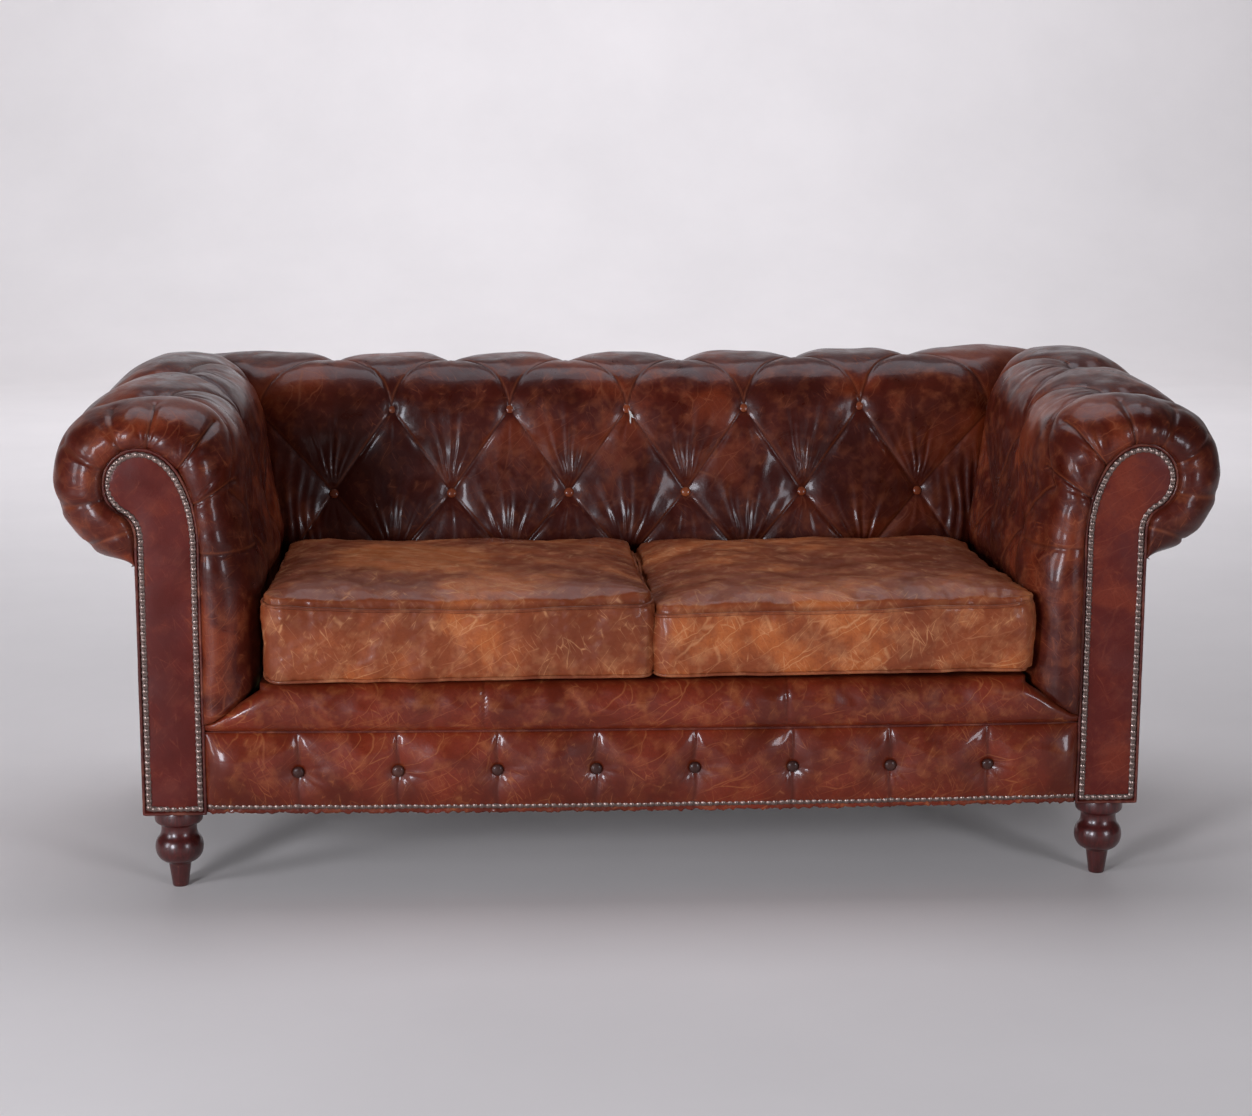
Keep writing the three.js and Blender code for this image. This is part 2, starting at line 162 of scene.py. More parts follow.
class SofaColours(bpy.types.PropertyGroup):
    """The colours of the leathers, the metal and the wood."""

    # The dark paints below also paint the shade in creases, button pits and seams, and the walls'
    # worn paint also paints a highlight along the laps of their pleats.
    wall_dark: colour("Walls, dark", "Wax-darkened leather in the folds", "#2a0a06")
    wall_base: colour("Walls", "Oxblood leather of the back and arms", "#4b170c")
    wall_warm: colour("Walls, warm", "Leather where the wax has thinned", "#6e2a12")
    wall_worn: colour("Walls, worn", "Rubbed leather on the puffs", "#8c4a2c")
    # Besides grime, this paint also paints the shade along the cushions' seams.
    seat_dark: colour("Seat, dark", "Grime on the seat cushions", "#5e2816")
    seat_base: colour("Seat", "Rubbed leather of the seat cushions", "#844022")
    seat_warm: colour("Seat, warm", "Leather where the seat's wax is gone", "#a8592c")
    seat_worn: colour("Seat, worn", "Bare scratches of the seat cushions", "#c98f62")
    border_base: colour("Border", "Leather of the border and the lip", "#652210")
    facing_base: colour("Arm fronts", "Flat leather of the arm fronts", "#561810")
    button_base: colour("Buttons", "Leather of the buttons on the back", "#78361c")
    knob_base: colour("Border buttons", "Leather of the border's buttons", "#3a201b")
    brass: colour("Nails", "Antique brass of the nail heads", "#46362c")
    brass_worn: colour("Nails, worn", "Rubbed metal of the strip under the heads", "#a38d84")
    mahogany: colour("Feet", "Stained wood of the feet", "#4b1714")


class SofaStage(bpy.types.PropertyGroup):
    """The camera, the floor and the lights."""

    camera: bpy.props.FloatVectorProperty(
        name="Camera", description="Where the camera stands", subtype="TRANSLATION", size=3,
        unit="LENGTH", default=(-0.244, -4.170, 1.221))
    turn: bpy.props.FloatProperty(
        name="Turn", description="Turn of the camera to the right", subtype="ANGLE",
        default=0.0563)
    tilt: bpy.props.FloatProperty(
        name="Tilt", description="Tilt of the camera below level", subtype="ANGLE", default=0.1799)
    roll: bpy.props.FloatProperty(
        name="Roll", description="Roll of the camera", subtype="ANGLE", default=-0.0026)
    lens: bpy.props.FloatProperty(
        name="Lens", description="Focal length on a 36 mm sensor, in millimetres", unit="CAMERA",
        default=70.5)
    floor: colour("Floor", "Pale floor", "#ece4df")
    light: colour("Daylight", "Soft window light", "#eef3ff")


def settings(name):
    """The scene's values of one property group."""
    return getattr(bpy.context.scene, name)


# ------------------------------------------------------------------ small helpers
def smoothstep(x, low, high):
    """0 up to low, 1 from high on, and smooth between them."""
    t = np.clip((x - low) / (high - low), 0, 1)
    return t * t * (3 - 2 * t)


def waves(u, v, size, seed, count=8):
    """A smooth irregular field, about -1 to 1, whose swells are about `size` across."""
    rng = np.random.default_rng(seed)
    total = np.zeros(np.broadcast(u, v).shape)
    for _ in range(count):
        angle, phase = rng.uniform(0, 2 * math.pi, 2)
        k = 2 * math.pi / size * rng.uniform(0.6, 1.5)
        total += np.sin(k * (u * math.cos(angle) + v * math.sin(angle)) + phase)
    return total / math.sqrt(count)


def bezier(points, count):
    """Points along a cubic curve, without its first one."""
    t = np.linspace(0, 1, count + 1)[1:, None]
    a, b, c, d = (np.array(p, float) for p in points)
    return (1 - t) ** 3 * a + 3 * (1 - t) ** 2 * t * b + 3 * (1 - t) * t * t * c + t ** 3 * d


def arc(centre, radius, start, end, count):
    """Points along an arc, its ends among them."""
    angles = np.linspace(start, end, count)
    return np.column_stack([centre[0] + radius * np.cos(angles),
                            centre[1] + radius * np.sin(angles)])


def along(points):
    """Distance along a run of points, from its first."""
    steps = np.linalg.norm(np.diff(points, axis=0), axis=1)
    return np.concatenate([[0], np.cumsum(steps)])


def resample(points, places):
    """The points at these distances along a run of points."""
    distance = along(points)
    return np.column_stack([np.interp(places, distance, points[:, i])
                            for i in range(points.shape[1])])


def unit(vectors):
    """The vectors at length 1."""
    return vectors / np.maximum(np.linalg.norm(vectors, axis=-1, keepdims=True), 1e-12)


def add_object(name, data):
    """Puts a mesh, light or camera into the scene."""
    made = bpy.data.objects.new(name, data)
    bpy.context.scene.collection.objects.link(made)
    return made


def set_fields(mesh, fields):
    """Stores a number for each point of a mesh under each name."""
    for field, values in fields.items():
        attribute = mesh.attributes.new(field, "FLOAT", "POINT")
        attribute.data.foreach_set("value", np.asarray(values, np.float32).ravel())


def new_mesh(name, points, faces, uv=None, fields=None):
    """A mesh object from arrays: faces all have the same number of corners."""
    mesh = bpy.data.meshes.new(name)
    faces = np.asarray(faces, np.int32)
    corners = faces.shape[1]
    mesh.vertices.add(len(points))
    mesh.vertices.foreach_set("co", np.asarray(points, np.float32).ravel())
    mesh.loops.add(faces.size)
    mesh.loops.foreach_set("vertex_index", faces.ravel())
    mesh.polygons.add(len(faces))
    mesh.polygons.foreach_set("loop_start", np.arange(0, faces.size, corners, dtype=np.int32))
    mesh.update(calc_edges=True)
    mesh.polygons.foreach_set("use_smooth", np.ones(len(faces), bool))
    if uv is not None:
        layer = mesh.uv_layers.new(name="UVMap")
        layer.data.foreach_set("uv", np.asarray(uv, np.float32)[faces.ravel()].ravel())
    set_fields(mesh, fields or {})
    return add_object(name, mesh)


def grid_faces(rows, cols, flip=False, ring=False):
    """Quads of a grid of points, wound so that column step x row step points out."""
    r, c = np.mgrid[0:rows - 1, 0:cols if ring else cols - 1]
    here, right = r * cols + c, r * cols + (c + 1) % cols
    quads = np.stack([here, right, right + cols, here + cols], -1).reshape(-1, 4)
    return quads[:, ::-1] if flip else quads


def grid_normals(points, side=1):
    """Normals of a grid of points: side is -1 where the grid is mirrored."""
    across = np.gradient(points, axis=1)
    up = np.gradient(points, axis=0)
    return unit(np.cross(across, up)) * side


def edge_loop(rows, cols):
    """Indices round the border of a grid of points."""
    index = np.arange(rows * cols).reshape(rows, cols)
    return np.concatenate([index[0, :-1], index[:-1, -1], index[-1, :0:-1], index[:0:-1, 0]])


def rim_faces(loop, start, flip):
    """Faces from a grid's border to its turned-in copy, whose points begin at index start."""
    here = np.arange(len(loop))
    following = np.roll(here, -1)
    rim = np.stack([loop[following], loop[here], start + here, start + following], -1)
    return rim[:, ::-1] if flip else rim


def with_border(values, loop):
    """A grid's values, and then those of its border again."""
    return np.concatenate([values.ravel(), values.ravel()[loop]])


def paint_piece(piece, finish):
    """Gives a piece one of the finishes, by name."""
    piece.data.materials.clear()
    piece.data.materials.append(bpy.data.materials[finish])


def finish_piece(piece, finish, slot, *nodes, fill=None):
    """Gives a piece its finish, hangs it on the root, and hides the frame's nodes that it takes the
    place of.
    """
    paint_piece(piece, finish)
    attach(piece, "root")
    if nodes:
        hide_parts(*nodes)


def headings(points, closed):
    """Which way a run of points heads at each of them."""
    if closed:
        return unit(np.roll(points, -1, 0) - np.roll(points, 1, 0))
    return unit(np.gradient(points, axis=0))


def tube(points, radius, sides=8, closed=True, end_taper=False):
    """Points and faces of a tube along a run of points."""
    points = np.asarray(points, float)
    forward = headings(points, closed)
    side = unit(np.cross(forward, np.array([0.03, 0.02, 1.0])))
    flat = np.abs(forward[:, 2]) > 0.98
    side[flat] = unit(np.cross(forward[flat], np.array([0.0, 1.0, 0.0])))
    for i in range(1, len(side)):
        carried = side[i - 1] - forward[i] * (side[i - 1] @ forward[i])
        side[i] = carried / np.linalg.norm(carried)
    if closed:
        # The rings turn evenly on the way, so that the last one meets the first.
        last = side[-1] - forward[0] * (side[-1] @ forward[0])
        last /= np.linalg.norm(last)
        error = math.atan2(np.cross(side[0], last) @ forward[0], side[0] @ last)
        turn = -error * np.linspace(0, 1, len(side))[:, None]
        side = side * np.cos(turn) + np.cross(forward, side) * np.sin(turn)
    up = np.cross(side, forward)
    angle = np.arange(sides) * 2 * math.pi / sides
    width = np.full(len(points), radius)
    if end_taper:
        width = radius * np.sqrt(np.clip(1 - np.linspace(-1, 1, len(points)) ** 8, 0.02, 1))
    ring = (np.cos(angle)[None, :, None] * side[:, None]
            + np.sin(angle)[None, :, None] * up[:, None])
    shell = points[:, None] + ring * width[:, None, None]
    rows = len(points)
    faces = grid_faces(rows, sides, ring=True)
    if closed:
        j = np.arange(sides)
        last_row, next_j = (rows - 1) * sides, (j + 1) % sides
        faces = np.concatenate([faces, np.stack([last_row + j, last_row + next_j, next_j, j], -1)])
    return shell.reshape(-1, 3), faces


def joined(name, parts):
    """One mesh object from several (points, faces) pairs."""
    points, faces, start = [], [], 0
    for part_points, part_faces in parts:
        points.append(part_points)
        faces.append(np.asarray(part_faces) + start)
        start += len(part_points)
    return new_mesh(name, np.concatenate(points), np.concatenate(faces))


def lathe(profile, sides):
    """Points and quads of a turned shape: profile holds (radius, height), from the top down."""
    profile = np.asarray(profile, float)
    angle = np.arange(sides) * 2 * math.pi / sides
    points = np.stack([profile[:, :1] * np.cos(angle), profile[:, :1] * np.sin(angle),
                       np.repeat(profile[:, 1:], sides, 1)], -1)
    return points.reshape(-1, 3), grid_faces(len(profile), sides, ring=True, flip=True)


# ------------------------------------------------------------------ sections and outlines
def wall_section():
    """Section of an arm from its foot, up the inner face and over the roll to the tacked edge:
    points (out, height), their outward normals and their distance along the section."""
    foot = ARM_LOW.z + 0.060
    straight = LIP_HIGH.z + 0.129
    lean, top = 0.026, ARM_HIGH.z
    run = [np.array([[0, foot]])]
    run.append(np.column_stack([np.zeros(60), np.linspace(foot, straight, 61)[1:]]))
    run.append(bezier([(0, straight), (0, 0.545), (lean, 0.590), (lean, ROLL_Z)], 60))
    run.append(bezier([(lean, ROLL_Z), (lean, top - 0.020), (ROLL_OUT - 0.080, top),
                       (ROLL_OUT, top)], 60))
    run.append(bezier([(ROLL_OUT, top), (ROLL_OUT + 0.074, top), (WALL_OUT, ROLL_Z + 0.076),
                       (WALL_OUT, ROLL_Z)], 60))
    run.append(bezier([(WALL_OUT, ROLL_Z), (WALL_OUT, ROLL_Z - 0.072),
                       (TACK_OUT + 0.052, TACK_Z), (TACK_OUT, TACK_Z)], 60))
    points = np.concatenate(run)
    step = unit(np.gradient(points, axis=0))
    return points, np.column_stack([-step[:, 1], step[:, 0]]), along(points)


SECTION, SECTION_NORMAL, SECTION_AT = wall_section()
SECTION_END = SECTION_AT[-1]


def at_height(z):
    """Distance along the section to a height on its inner face."""
    inner = SECTION[:, 0] < 0.05
    return float(np.interp(z, SECTION[inner, 1], SECTION_AT[inner]))


def at_out(out):
    """Distance along the section to a place on top of the roll."""
    top = (SECTION[:, 1] > ROLL_Z + 0.03)
    return float(np.interp(out, SECTION[top, 0], SECTION_AT[top]))


def at_angle(degrees):
    """Distance along the section to a direction from the middle of the roll."""
    angles = np.degrees(np.arctan2(SECTION[:, 1] - ROLL_Z, SECTION[:, 0] - ROLL_OUT))
    angles = (angles + 100) % 360 - 100
    roll = SECTION[:, 1] > 0.535
    return float(np.interp(-degrees, -angles[roll], SECTION_AT[roll]))


def scroll_outline(inset=0.0, bottom=None):
    """Outline of an arm front, up its inner edge, round the head and down its outer edge."""
    r = HEAD_R - inset
    low = FACING_LOW.z if bottom is None else bottom
    inner, outer = STEM_IN + inset, STEM_OUT - inset
    turn = -1.13
    neck = arc((HEAD_X, ROLL_Z), r, math.pi / 2, turn, 40)
    start, end = neck[-1], np.array([outer, ROLL_Z - 0.085])
    middle = np.array([outer, ROLL_Z - 0.058])
    t = np.linspace(0, 1, 13)[1:, None]
    curve = (1 - t) ** 2 * start + 2 * (1 - t) * t * middle + t * t * end
    return np.concatenate([
        [[inner, low]],
        np.column_stack([np.full(30, inner), np.linspace(low, ROLL_Z - 0.095, 31)[1:]]),
        bezier([(inner, ROLL_Z - 0.095), (inner, ROLL_Z - 0.020), (HEAD_X - r, ROLL_Z + r),
                (HEAD_X, ROLL_Z + r)], 30),
        neck[1:], curve, [[outer, low]]])


# ------------------------------------------------------------------ tufting
def curved(start, bend, end, count=6):
    """A pleat that runs from start to end and is drawn towards bend on its way."""
    t = np.linspace(0, 1, count + 1)[:, None]
    start, bend, end = (np.array(p, float) for p in (start, bend, end))
    return (1 - t) ** 2 * start + 2 * (1 - t) * t * bend + t * t * end


def pleat_distance(u, v, path):
    """Distance from points to a pleat, and which side of it they are on: above is positive."""
    nearest = np.full(u.shape, 1.0)
    above = np.zeros(u.shape)
    for (u1, v1), (u2, v2) in zip(path[:-1], path[1:]):
        du, dv = u2 - u1, v2 - v1
        t = np.clip(((u - u1) * du + (v - v1) * dv) / (du * du + dv * dv), 0, 1)
        distance = np.hypot(u - u1 - t * du, v - v1 - t * dv)
        side = (du * (v - v1) - dv * (u - u1)) * (1 if du >= 0 else -1)
        above = np.where(distance < nearest, side, above)
        nearest = np.minimum(distance, nearest)
    return nearest, np.sign(above)


def tufted(u, v, pleats, buttons, tuft):
    """How far the padding stands up, 0 at a button to 1 on a full puff, how much painted shade
    darkens it along the pleats and round the buttons, and where the leather laps over itself along
    the pleats, a line that is also painted paler, partly as rubbed leather and partly as a painted
    highlight. A pleat is (path, depth, reach), and a button is (u, v, pull)."""
    bottom, crease_shade_width, lap_from, lap_width, button_edge = 0.0013, 0.0021, 0.0031, 0.0017, 0.012
    sharp_share = 0.52  # share of a pleat's depth that is cut close to it
    open_share, crease, lap = np.ones(u.shape), np.zeros(u.shape), np.zeros(u.shape)
    for path, depth, reach in pleats:
        distance, above = pleat_distance(u, v, path)
        rounded = np.sqrt(distance ** 2 + bottom ** 2) - bottom
        open_share *= 1 - depth * (sharp_share * np.exp(-rounded / tuft.pleat_reach)
                                   + (1 - sharp_share) * np.exp(-rounded / reach))
        # A thin line of painted shade along the pleat.
        crease = np.maximum(crease, 1.7 * depth * np.exp(-(distance / crease_shade_width) ** 2))
        over = np.exp(-((distance * above - lap_from) / lap_width) ** 2)
        lap = np.maximum(lap, 1.9 * depth * over)
    for bu, bv, pull in buttons:
        r = np.hypot(u - bu, v - bv)
        open_share *= 1 - pull * np.exp(-(r / tuft.pit_reach) ** 1.35)
        at_button = np.exp(-(r / button_edge) ** 2)
        # Painted shade in the button's pit.
        crease = np.maximum(crease, at_button)
        lap *= 1 - at_button
    return open_share, np.minimum(crease, 1), np.minimum(lap, 1)


def fan(u, v, centre, direction, spread, reach, ridges, seed):
    """Ridges that fan out from a button, -1 to 1, where the leather is gathered into it."""
    du, dv = u - centre[0], v - centre[1]
    r = np.hypot(du, dv)
    rng = np.random.default_rng(seed)
    angle = np.arctan2(dv, du) - direction
    angle = (angle + math.pi) % (2 * math.pi) - math.pi
    bent = angle + 0.10 * np.sin(r / 0.013 + rng.uniform(0, 6)) * np.exp(-r / reach)
    count = math.pi * ridges / spread
    ridge = np.cos(count * bent + rng.uniform(0, 6)) + 0.45 * np.cos(
        1.63 * count * bent + rng.uniform(0, 6))
    envelope = (r / reach) ** 1.1 * np.exp(1.1 * (1 - r / reach))
    return ridge * envelope * np.exp(-(angle / spread) ** 2)


def fans(u, v, rows):
    """The gathers of several rows of buttons. A row is (places, direction, height, spread, reach,
    ridges, seed)."""
    total = np.zeros(u.shape)
    for places, direction, height, spread, reach, ridges, seed in rows:
        for i, centre in enumerate(places):
            total += height * fan(u, v, centre, direction, spread, reach, ridges, seed + i)
    return total


def wall_rows(fine, coarse):
    """Distances along the section for a wall's rows: close together where the seat side shows."""
    shown, rolled = at_height(0.450), at_out(ROLL_OUT + 0.03)
    return np.concatenate([
        np.linspace(0, shown, 12, endpoint=False),
        np.linspace(shown, rolled, int((rolled - shown) / fine), endpoint=False),
        np.linspace(rolled, SECTION_END, int((SECTION_END - rolled) / coarse))])


def wall_base(places, puff):
    """The seats of the pleats along the section: (out, height), and the puffs' share of height."""
    points = np.column_stack([np.interp(places, SECTION_AT, SECTION[:, i]) for i in (0, 1)])
    normals = unit(np.column_stack(
        [np.interp(places, SECTION_AT, SECTION_NORMAL[:, i]) for i in (0, 1)]))
    share = 1 - smoothstep(places, SECTION_END - 0.075, SECTION_END - 0.004)
    return points - normals * (puff * share)[:, None], share


def gathers(u, v, low, high, size, seed):
    """Upright folds, -1 to 1, in a band of the wall, where the leather is pulled down."""
    rng = np.random.default_rng(seed)
    bent = u + 0.004 * waves(u, v, 0.11, seed + 1)
    fold = np.sin(2 * math.pi * bent / size + 2.2 * waves(u, v * 0.2, 0.16, seed + 2))
    patch = 0.5 + 0.5 * np.tanh(1.5 * waves(u, v, 0.13, seed + 3) + rng.uniform(-0.2, 0.2))
    band = smoothstep(v, low - 0.02, low) * (1 - smoothstep(v, (low + high) / 2, high))
    return fold * patch * band


def back_surface(tuft):
    """The leather of the back: points, flattened places, puff height, painted crease shade and
    normals.
    """
    places = wall_rows(BACK_STEP, BACK_STEP_BEHIND)
    base, share = wall_base(places, tuft.puff)
    out, z = base[:, 0], base[:, 1]
    reach = ARM_IN + out
    t = np.linspace(-1, 1, BACK_COLS)
    u = t[None, :] * reach[:, None]
    v = np.repeat(places[:, None], BACK_COLS, 1)
    to_mitre = reach[:, None] - np.abs(u)
    raised = 1 + (TALLER - 1) * smoothstep(to_mitre, 0.0, 0.16)
    height = np.where(z[:, None] > ROLL_Z, ROLL_Z + (z[:, None] - ROLL_Z) * raised, z[:, None])
    # The padding stands fuller towards the right end of the crest.
    fuller = smoothstep(u, 0.05, 0.62) * smoothstep(to_mitre, 0.0, 0.07)
    height += 0.008 * fuller * smoothstep(height, ROLL_Z, ROLL_Z + 0.08)
    y = np.repeat((BACK_IN + DEEPER * out)[:, None], BACK_COLS, 1)
    points = np.stack([u, y, height], -1)
    normals = grid_normals(points)

    low, high, top = at_height(tuft.row_low), at_height(tuft.row_high), at_out(tuft.row_top)
    hidden = at_height(tuft.row_hidden)
    corner = ARM_IN + float(np.interp(high, places, out))
    whole = [-corner, *(i * tuft.spacing for i in (-2, -1, 0, 1, 2)), corner]
    half = [(i + 0.5) * tuft.spacing for i in range(-3, 3)]
    pleats = []
    for i, x in enumerate(half):
        for side_x in (whole[i], whole[i + 1]):
            pleats.append(([(x, low), (side_x, high)], 0.40, tuft.puff_reach))
            bend = (x + 0.86 * (side_x - x), top + 0.42 * (high - top))
            pleats.append((curved((x, top), bend, (side_x, high)), 0.42, tuft.puff_reach))
            side_low = math.copysign(ARM_IN, side_x) if abs(side_x) == corner else side_x
            pleats.append(([(x, low), (side_low, hidden)], 0.42, tuft.puff_reach))
        pleats.append(([(x, top), (x, SECTION_END)], 0.93, tuft.crest_reach))
    rows = {"low": [(x, low) for x in half], "high": [(x, high) for x in whole[1:-1]],
            "top": [(x, top) for x in half], "corner": [(-corner, high), (corner, high)],
            "hidden": [(x, hidden) for x in whole]}
    stand_up = {"low": 0.0020, "high": 0.0010, "top": -0.0030}
    seats = [(at, depth) for row, depth in stand_up.items() for at in rows[row]]
    pulls = [(*at, PULLS[row]) for row, spots in rows.items() for at in spots]
    share_open, crease, lap = tufted(u, v, pleats, pulls, tuft)
    share_open *= 1 - np.exp(-to_mitre / 0.016)
    # Painted shade in the corner where the back meets an arm.
    crease = np.maximum(crease, np.exp(-(to_mitre / 0.005) ** 2))
    # Painted shade that darkens the back towards the seat, below the upper row.
    lower_back_shade = 0.42 * (1 - smoothstep(v, at_height(0.56), at_height(0.74)))
    crease = np.maximum(crease, lower_back_shade)

    ripple = fans(u, v, [
        (rows["low"], UP, 0.0015, 0.42, 0.033, 4.0, 11),
        (rows["low"], DOWN, 0.0006, 0.45, 0.030, 2.6, 31),
        (rows["high"], UP, 0.0005, 0.30, 0.045, 2.2, 51),
        (rows["high"], DOWN, 0.0003, 0.40, 0.030, 2.2, 61),
        (rows["top"], DOWN, 0.0006, 0.80, 0.016, 3.0, 71),
        (rows["top"], UP, 0.0006, 0.60, 0.020, 2.0, 81),
        (rows["hidden"], UP, 0.0014, 0.62, 0.038, 5.2, 91)])
    ripple += 0.00025 * gathers(u, v, at_height(0.470), at_height(0.700), 0.034, 7)
    near_mitre = smoothstep(-to_mitre, -0.12, -0.02)
    ripple += 0.0017 * near_mitre * gathers(u, v, at_height(0.455), at_height(0.68), 0.019, 17)
    swell = 0.0013 * waves(u, v, 0.19, 3) + 0.0004 * waves(u, v, 0.055, 5)
    lift = lifted(tuft.puff, share_open, ripple + swell, lap, share)
    lift -= scallops(u, v, [(x, 0.0) for x in half], top, share)
    return {"points": points + normals * lift[..., None], "normals": normals, "u": u, "v": v,
            "height": lift / tuft.puff, "crease": crease, "lap": lap, "seats": seats,
            "corners": [(at, 0.006) for at in rows["corner"]], "base": points, "side": 1}


def lifted(full, share_open, ripple, lap, share):
    """How far the leather stands up from its pleats' seats: puffs, ripples and laps together."""
    return (full * share_open + ripple * np.minimum(1, 1.6 * share_open)
            + 0.0009 * lap) * share[:, None]


def scallops(u, v, places, top, share):
    """How far the crest is drawn down over the roll along the pleats that start at the top row."""
    drawn = np.zeros(u.shape)
    for place, lean in places:
        run = np.clip((v - top) / (SECTION_END - top), 0, 1)
        drawn = np.maximum(drawn, np.exp(-((u - place - lean * run) / 0.034) ** 2))
    return 0.010 * drawn * smoothstep(v, top, top + 0.035) * share[:, None]


def plumpness(u, v, edge_y, to_mitre, to_panel, side):
    """How far the padding of an arm swells past its section: on the outer side of the roll, and
    on top of it towards the back."""
    outer = smoothstep(v, at_angle(75), at_angle(25)) * (
        1 - smoothstep(v, at_angle(-55), SECTION_END - 0.010))
    crest = smoothstep(v, at_height(0.70), at_angle(110))
    crest = crest * (1 - smoothstep(v, at_angle(80), at_angle(30)))
    crest = crest * smoothstep(u, edge_y + 0.02, edge_y + 0.40)
    swell = 0.014 * outer + (0.019 if side < 0 else 0.027) * crest
    return swell * smoothstep(to_mitre, 0.0, 0.07) * smoothstep(to_panel, 0.0, 0.08)


def front_ring(places, section, edge_y, round_y):
    """The padded ring of an arm's front: each row turns in over the front edge and runs to its
    place on the edge of the arm-front panel."""
    bulge = 0.006
    outline = scroll_outline(bottom=ARM_LOW.z + 0.001)
    outline = np.concatenate([outline[:-1], [[STEM_OUT, TACK_Z]]])
    outline_at = along(outline)

    def outline_place(x, height):
        return outline_at[np.argmin(np.hypot(outline[:, 0] - x, outline[:, 1] - height))]

    wall_marks = [0, at_height(0.560), at_out(ROLL_OUT), at_angle(0), SECTION_END]
    scroll_marks = [0, outline_place(STEM_IN, ROLL_Z - 0.095),
                    outline_place(HEAD_X, ROLL_Z + HEAD_R), outline_place(HEAD_X + HEAD_R, ROLL_Z),
                    outline_at[-1]]
    target = resample(outline, np.interp(places, wall_marks, scroll_marks))
    inward = target - section
    span = np.linalg.norm(inward, axis=1)
    direction = inward / np.maximum(span, 1e-6)[:, None]
    turn_in = np.minimum(0.085, 0.74 * span)[:, None]
    first = 3 * RING_COLS // 4
    angle = np.linspace(0, math.pi / 2, first + 1)[None, 1:]
    s = np.linspace(0, 1, RING_COLS - first + 1)[None, 1:]
    inner_run = np.concatenate([turn_in * (1 - np.cos(angle)),
                                turn_in + (span[:, None] - turn_in) * s], 1)
    forward = np.concatenate([(round_y + bulge) * np.sin(angle) + 0 * turn_in,
                              round_y + bulge - (bulge + 0.004) * smoothstep(s, 0.2, 1)
                              + 0 * turn_in], 1)
    return np.stack([section[:, :1] + direction[:, :1] * inner_run, edge_y - forward,
                     section[:, 1:] + direction[:, 1:] * inner_run], -1)


